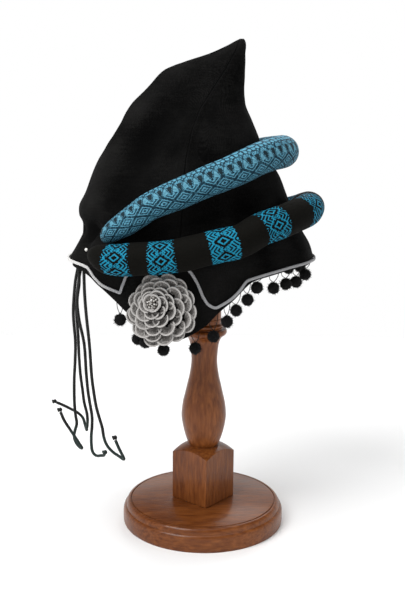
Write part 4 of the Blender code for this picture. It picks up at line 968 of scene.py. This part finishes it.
flower_up = FLOWER_SEAT.to_3x3() @ Vector((0, 0, 1))


def crochet_chain(line):
    """A thick chain of yarn along a petal's rim, in the mesh of the rims."""
    line = smooth_route(line, CHAIN_STEP)
    last = len(line) - 1
    chain = []
    for k, place in enumerate(line):
        side = (line[min(k + 1, last)] - line[max(k - 1, 0)]).normalized().cross(flower_up).normalized()
        size = CHAIN_RADIUS * (1.12 if k % 2 else 0.92) * min(1.0, 0.4 + min(k, last - k) * 0.3)
        ring = [rims.verts.new(place + (side * cos(turn) + flower_up * sin(turn)) * size)
                for turn in (2 * pi * corner / CHAIN_SIDES for corner in range(CHAIN_SIDES))]
        for vert in ring:
            vert[rims_store] = 1.25
        chain.append(ring)
    for a, b in zip(chain, chain[1:]):
        for corner in range(CHAIN_SIDES):
            n = (corner + 1) % CHAIN_SIDES
            rims.faces.new((a[corner], a[n], b[n], b[corner]))
    rims.faces.new(chain[0])
    rims.faces.new(chain[-1])


for radius, base, rim_height, petals, ring_turn, slip_back, slip_up in PETAL_RINGS:
    for number in range(petals):
        facing_way = 2 * pi * (number + ring_turn + chance.uniform(-0.16, 0.16)) / petals
        reach = FLOWER_RADIUS * radius * chance.uniform(0.92, 1.03)
        fan_radius = pi * reach / petals * chance.uniform(0.98, 1.08)
        root = reach - fan_radius
        tilt = chance.uniform(0.1, 0.3)
        grid = []
        for v in (i / (FAN_ROWS - 1) for i in range(FAN_ROWS)):
            line = []
            for u in (2 * j / (FAN_COLUMNS - 1) - 1 for j in range(FAN_COLUMNS)):
                fan = u * pi * 0.54
                out = root + fan_radius * (0.15 + 0.85 * v) * cos(fan)
                side = fan_radius * (0.15 + 0.85 * v) * sin(fan)
                lift = base + (rim_height - base) * (0.25 * v + 0.75 * v ** 3)
                z = FLOWER_HEIGHT * (lift + tilt * u * v * 0.4) - 0.0007 * sin(pi * v)
                z += 0.0011 * v * v * cos(fan * 2.0) + 0.00022 * sin(u * 26) * v
                x = cos(facing_way) * out - sin(facing_way) * side - slip_back * FLOWER_RADIUS
                y = sin(facing_way) * out + cos(facing_way) * side + slip_up * FLOWER_RADIUS
                vert = flower.verts.new(FLOWER_SEAT @ Vector((x, y, max(z, 0.0003))))
                vert[rim_store] = v
                vert[rib_store] = u
                line.append(vert)
            grid.append(line)
        for low, high in zip(grid, grid[1:]):
            for j in range(FAN_COLUMNS - 1):
                flower.faces.new((low[j], low[j + 1], high[j + 1], high[j]))
        crochet_chain([vert.co for vert in grid[-1]])
for part in (flower, rims):
    bmesh.ops.recalc_face_normals(part, faces=part.faces)
yarn_finish = Finish("grey_crochet_yarn", (0.36, 0.35, 0.34), 0.88, Sheen_Weight=0.08, Sheen_Roughness=0.5,
                     Specular_IOR_Level=0.15)
rim_share = yarn_finish.stored("rim")
ply = yarn_finish.specks(0.0009, 3.0)
ribs = (yarn_finish.stored("rib") * 30.0).maths("SINE") * 0.5 + 0.5
holes = yarn_finish.specks(0.0016, 1.0).over(0.57) * rim_share.under(0.88)
# Painted shade: each petal is darker towards its root, where the ring of petals above covers it; the bands higher up
# are the stitch rows, and the chain rim is pale.
stitch_rows_and_root_shade = (rim_share * 0.8 + ply * 0.12 - 0.06).ramp(
    (0.2, (0.17, 0.16, 0.15)), (0.36, (0.25, 0.236, 0.225)), (0.46, (0.36, 0.345, 0.33)),
    (0.6, (0.4, 0.384, 0.37)), (0.7, (0.285, 0.27, 0.258)), (0.78, (0.36, 0.345, 0.33)),
    (0.92, (0.43, 0.415, 0.4)))
knots = (ribs * 0.3 * rim_share.under(1.1)).mix(stitch_rows_and_root_shade, (0.13, 0.12, 0.112))
yarn_finish.feed("Base Color", (holes * 0.55).mix(knots, (0.085, 0.075, 0.07)))
yarn_finish.relief(ribs * 0.6 + ply * 0.8 - holes, 0.00045)
shown("crochet_petal_rims", as_mesh(rims, "crochet_petal_rims"), yarn_finish, "grey_wool", "flower")
petals = shown("crochet_petals", as_mesh(flower, "crochet_petals"), yarn_finish, "grey_wool", "flower")
thick = petals.modifiers.new("yarn_thickness", "SOLIDIFY")
thick.thickness = PETAL_CLOTH
thick.offset = -1.0


# The bead cluster. Small clear and smoky glass beads sewn in the flower's heart.
BEAD_RINGS = (
    # beads, reach, lift
    (1, 0.0, 0.0026), (6, 0.0024, 0.0019), (11, 0.0044, 0.0006))
beads = bmesh.new()
bead_middle = Vector((-0.185 * FLOWER_RADIUS, 0.205 * FLOWER_RADIUS, FLOWER_HEIGHT * 0.86))
for count, reach, lift in BEAD_RINGS:
    for k in range(count):
        turn = 2 * pi * k / count + reach * 300
        place = bead_middle + Vector((cos(turn) * reach, sin(turn) * reach, lift + chance.uniform(-0.0003, 0.0003)))
        bmesh.ops.create_icosphere(beads, subdivisions=2, radius=chance.uniform(0.00095, 0.00125),
                                   matrix=FLOWER_SEAT @ Matrix.Translation(place))
glass = Finish("smoky_glass_beads", (0.42, 0.39, 0.36), 0.12, Coat_Weight=0.6)
glass.feed("Base Color", glass.specks(0.0022).ramp((0.4, (0.1, 0.085, 0.07)), (0.52, (0.38, 0.36, 0.34)),
                                                   (0.62, (0.86, 0.85, 0.83))))
shown("bead_cluster", as_mesh(beads, "bead_cluster"), glass, "glass_bead", "flower_beads")


# The pompom fringe. Balls of clipped black wool, each hung from the under layer's edge by a loop of two
# thin threads, along both sides from below the flower to the front.
POMPOMS = (
    # x, y, z of the ball, z of the edge, in mm, on the far side; the near side mirrors them
    (-76.6, 61.8, 217.4, 231.8), (-60.3, 66.8, 201.0, 216.5), (-52.9, 76.5, 200.3, 210.8), (-36.9, 70.4, 191.8, 202.8),
    (-8.5, 71.4, 193.9, 208.9), (7.8, 70.6, 204.8, 222.7), (19.7, 69.2, 218.3, 233.3), (27.8, 67.8, 228.3, 240.9),
    (37.9, 65.5, 237.7, 251.0), (46.3, 62.7, 248.3, 255.3), (61.6, 56.5, 246.9, 259.6), (73.4, 49.2, 249.5, 261.9),
    (83.7, 39.4, 249.9, 263.2), (93.6, 23.4, 254.2, 264.0))
POMPOM_RADIUS = 0.0062
SPIKES = 300
SPIKE_REACH = 0.00024
THREAD = 0.0007
pompom_middles = [(Vector((x, side * y, z)) / 1000, edge_z / 1000) for x, y, z, edge_z in POMPOMS for side in (1, -1)]
fringe = bmesh.new()
for middle, edge_height in pompom_middles:
    core = bmesh.ops.create_icosphere(fringe, subdivisions=3, radius=POMPOM_RADIUS * 0.86,
                                      matrix=Matrix.Translation(middle))
    for vert in core["verts"]:
        vert.co += (vert.co - middle) * 0.16 * noise.noise(vert.co * 900)
    for number in range(SPIKES):
        way = Vector([chance.gauss(0, 1) for _ in range(3)]).normalized()
        across = way.orthogonal().normalized() * SPIKE_REACH
        across.rotate(Matrix.Rotation(chance.uniform(0, 2 * pi), 3, way))
        root = middle + way * POMPOM_RADIUS * 0.7
        bent = way + Vector([chance.uniform(-1, 1) for _ in range(3)]) * 0.16
        tip = middle + bent * POMPOM_RADIUS * chance.uniform(0.96, 1.12)
        feet = [root + Matrix.Rotation(2 * pi * k / 3, 3, way) @ across for k in range(3)]
        spike = [fringe.verts.new(point) for point in (*feet, tip)]
        for corners in ((2, 1, 0), (0, 1, 3), (1, 2, 3), (2, 0, 3)):
            fringe.faces.new([spike[c] for c in corners])
fluffy = Finish("black_clipped_wool", (0.004, 0.004, 0.0042), 0.95, Sheen_Weight=0.03, Specular_IOR_Level=0.1)
fluffy.feed("Base Color", fluffy.specks(0.0016).mix((0.0022, 0.0022, 0.0022), (0.009, 0.009, 0.0095)))
shown("pompoms", as_mesh(fringe, "pompoms"), fluffy, "black_wool", "pompom_fringe", smooth=False)

threads = []
for middle, edge_height in pompom_middles:
    top = middle + Vector((0, 0, POMPOM_RADIUS * 0.85))
    for way in (-1, 1):
        spread = way * chance.uniform(0.0025, 0.005)
        slope = 0.7 if middle.x > 0 else -0.7
        held = Vector((middle.x + spread, middle.y, edge_height + 0.002 + spread * slope))
        sag = (top + held) / 2 + Vector((spread * 0.25, 0, -0.0008))
        threads.append([top, top.lerp(sag, 0.5) + Vector((spread * 0.08, 0, 0)), sag, held])
shown("pompom_threads", yarn("pompom_threads", threads, THREAD, 1), cord_finish, "black_wool")


# The pearl. One small seed pearl sewn on the nape beside the lower roll's end.
PEARL_RADIUS = 0.0015
PEARL_SEAT = Vector((-0.1072, -0.0433, 0.2776))
PEARL_OUT = Vector((-0.6976, -0.5339, 0.4777))
pearl_finish = Finish("seed_pearl", (0.86, 0.85, 0.8), 0.18, Coat_Weight=0.5)
pearl_finish.feed("Base Color", pearl_finish.specks(0.002).mix((0.78, 0.76, 0.7), (0.95, 0.94, 0.9)))
pearl_line = [(0, 1.5), (0.5, 1.45), (1.0, 1.15), (1.4, 0.6), (1.5, 0), (1.4, -0.6), (1.0, -1.15), (0.5, -1.45),
              (0, -1.5)]
pearl_mesh = lathe("seed_pearl", profile_from(0, 0, pearl_line), 20)
pearl_mesh.transform(Matrix.Translation(PEARL_SEAT + PEARL_OUT * (PEARL_RADIUS + 0.0003)))
shown("seed_pearl", pearl_mesh, pearl_finish, "pearl", "nape_pearl")
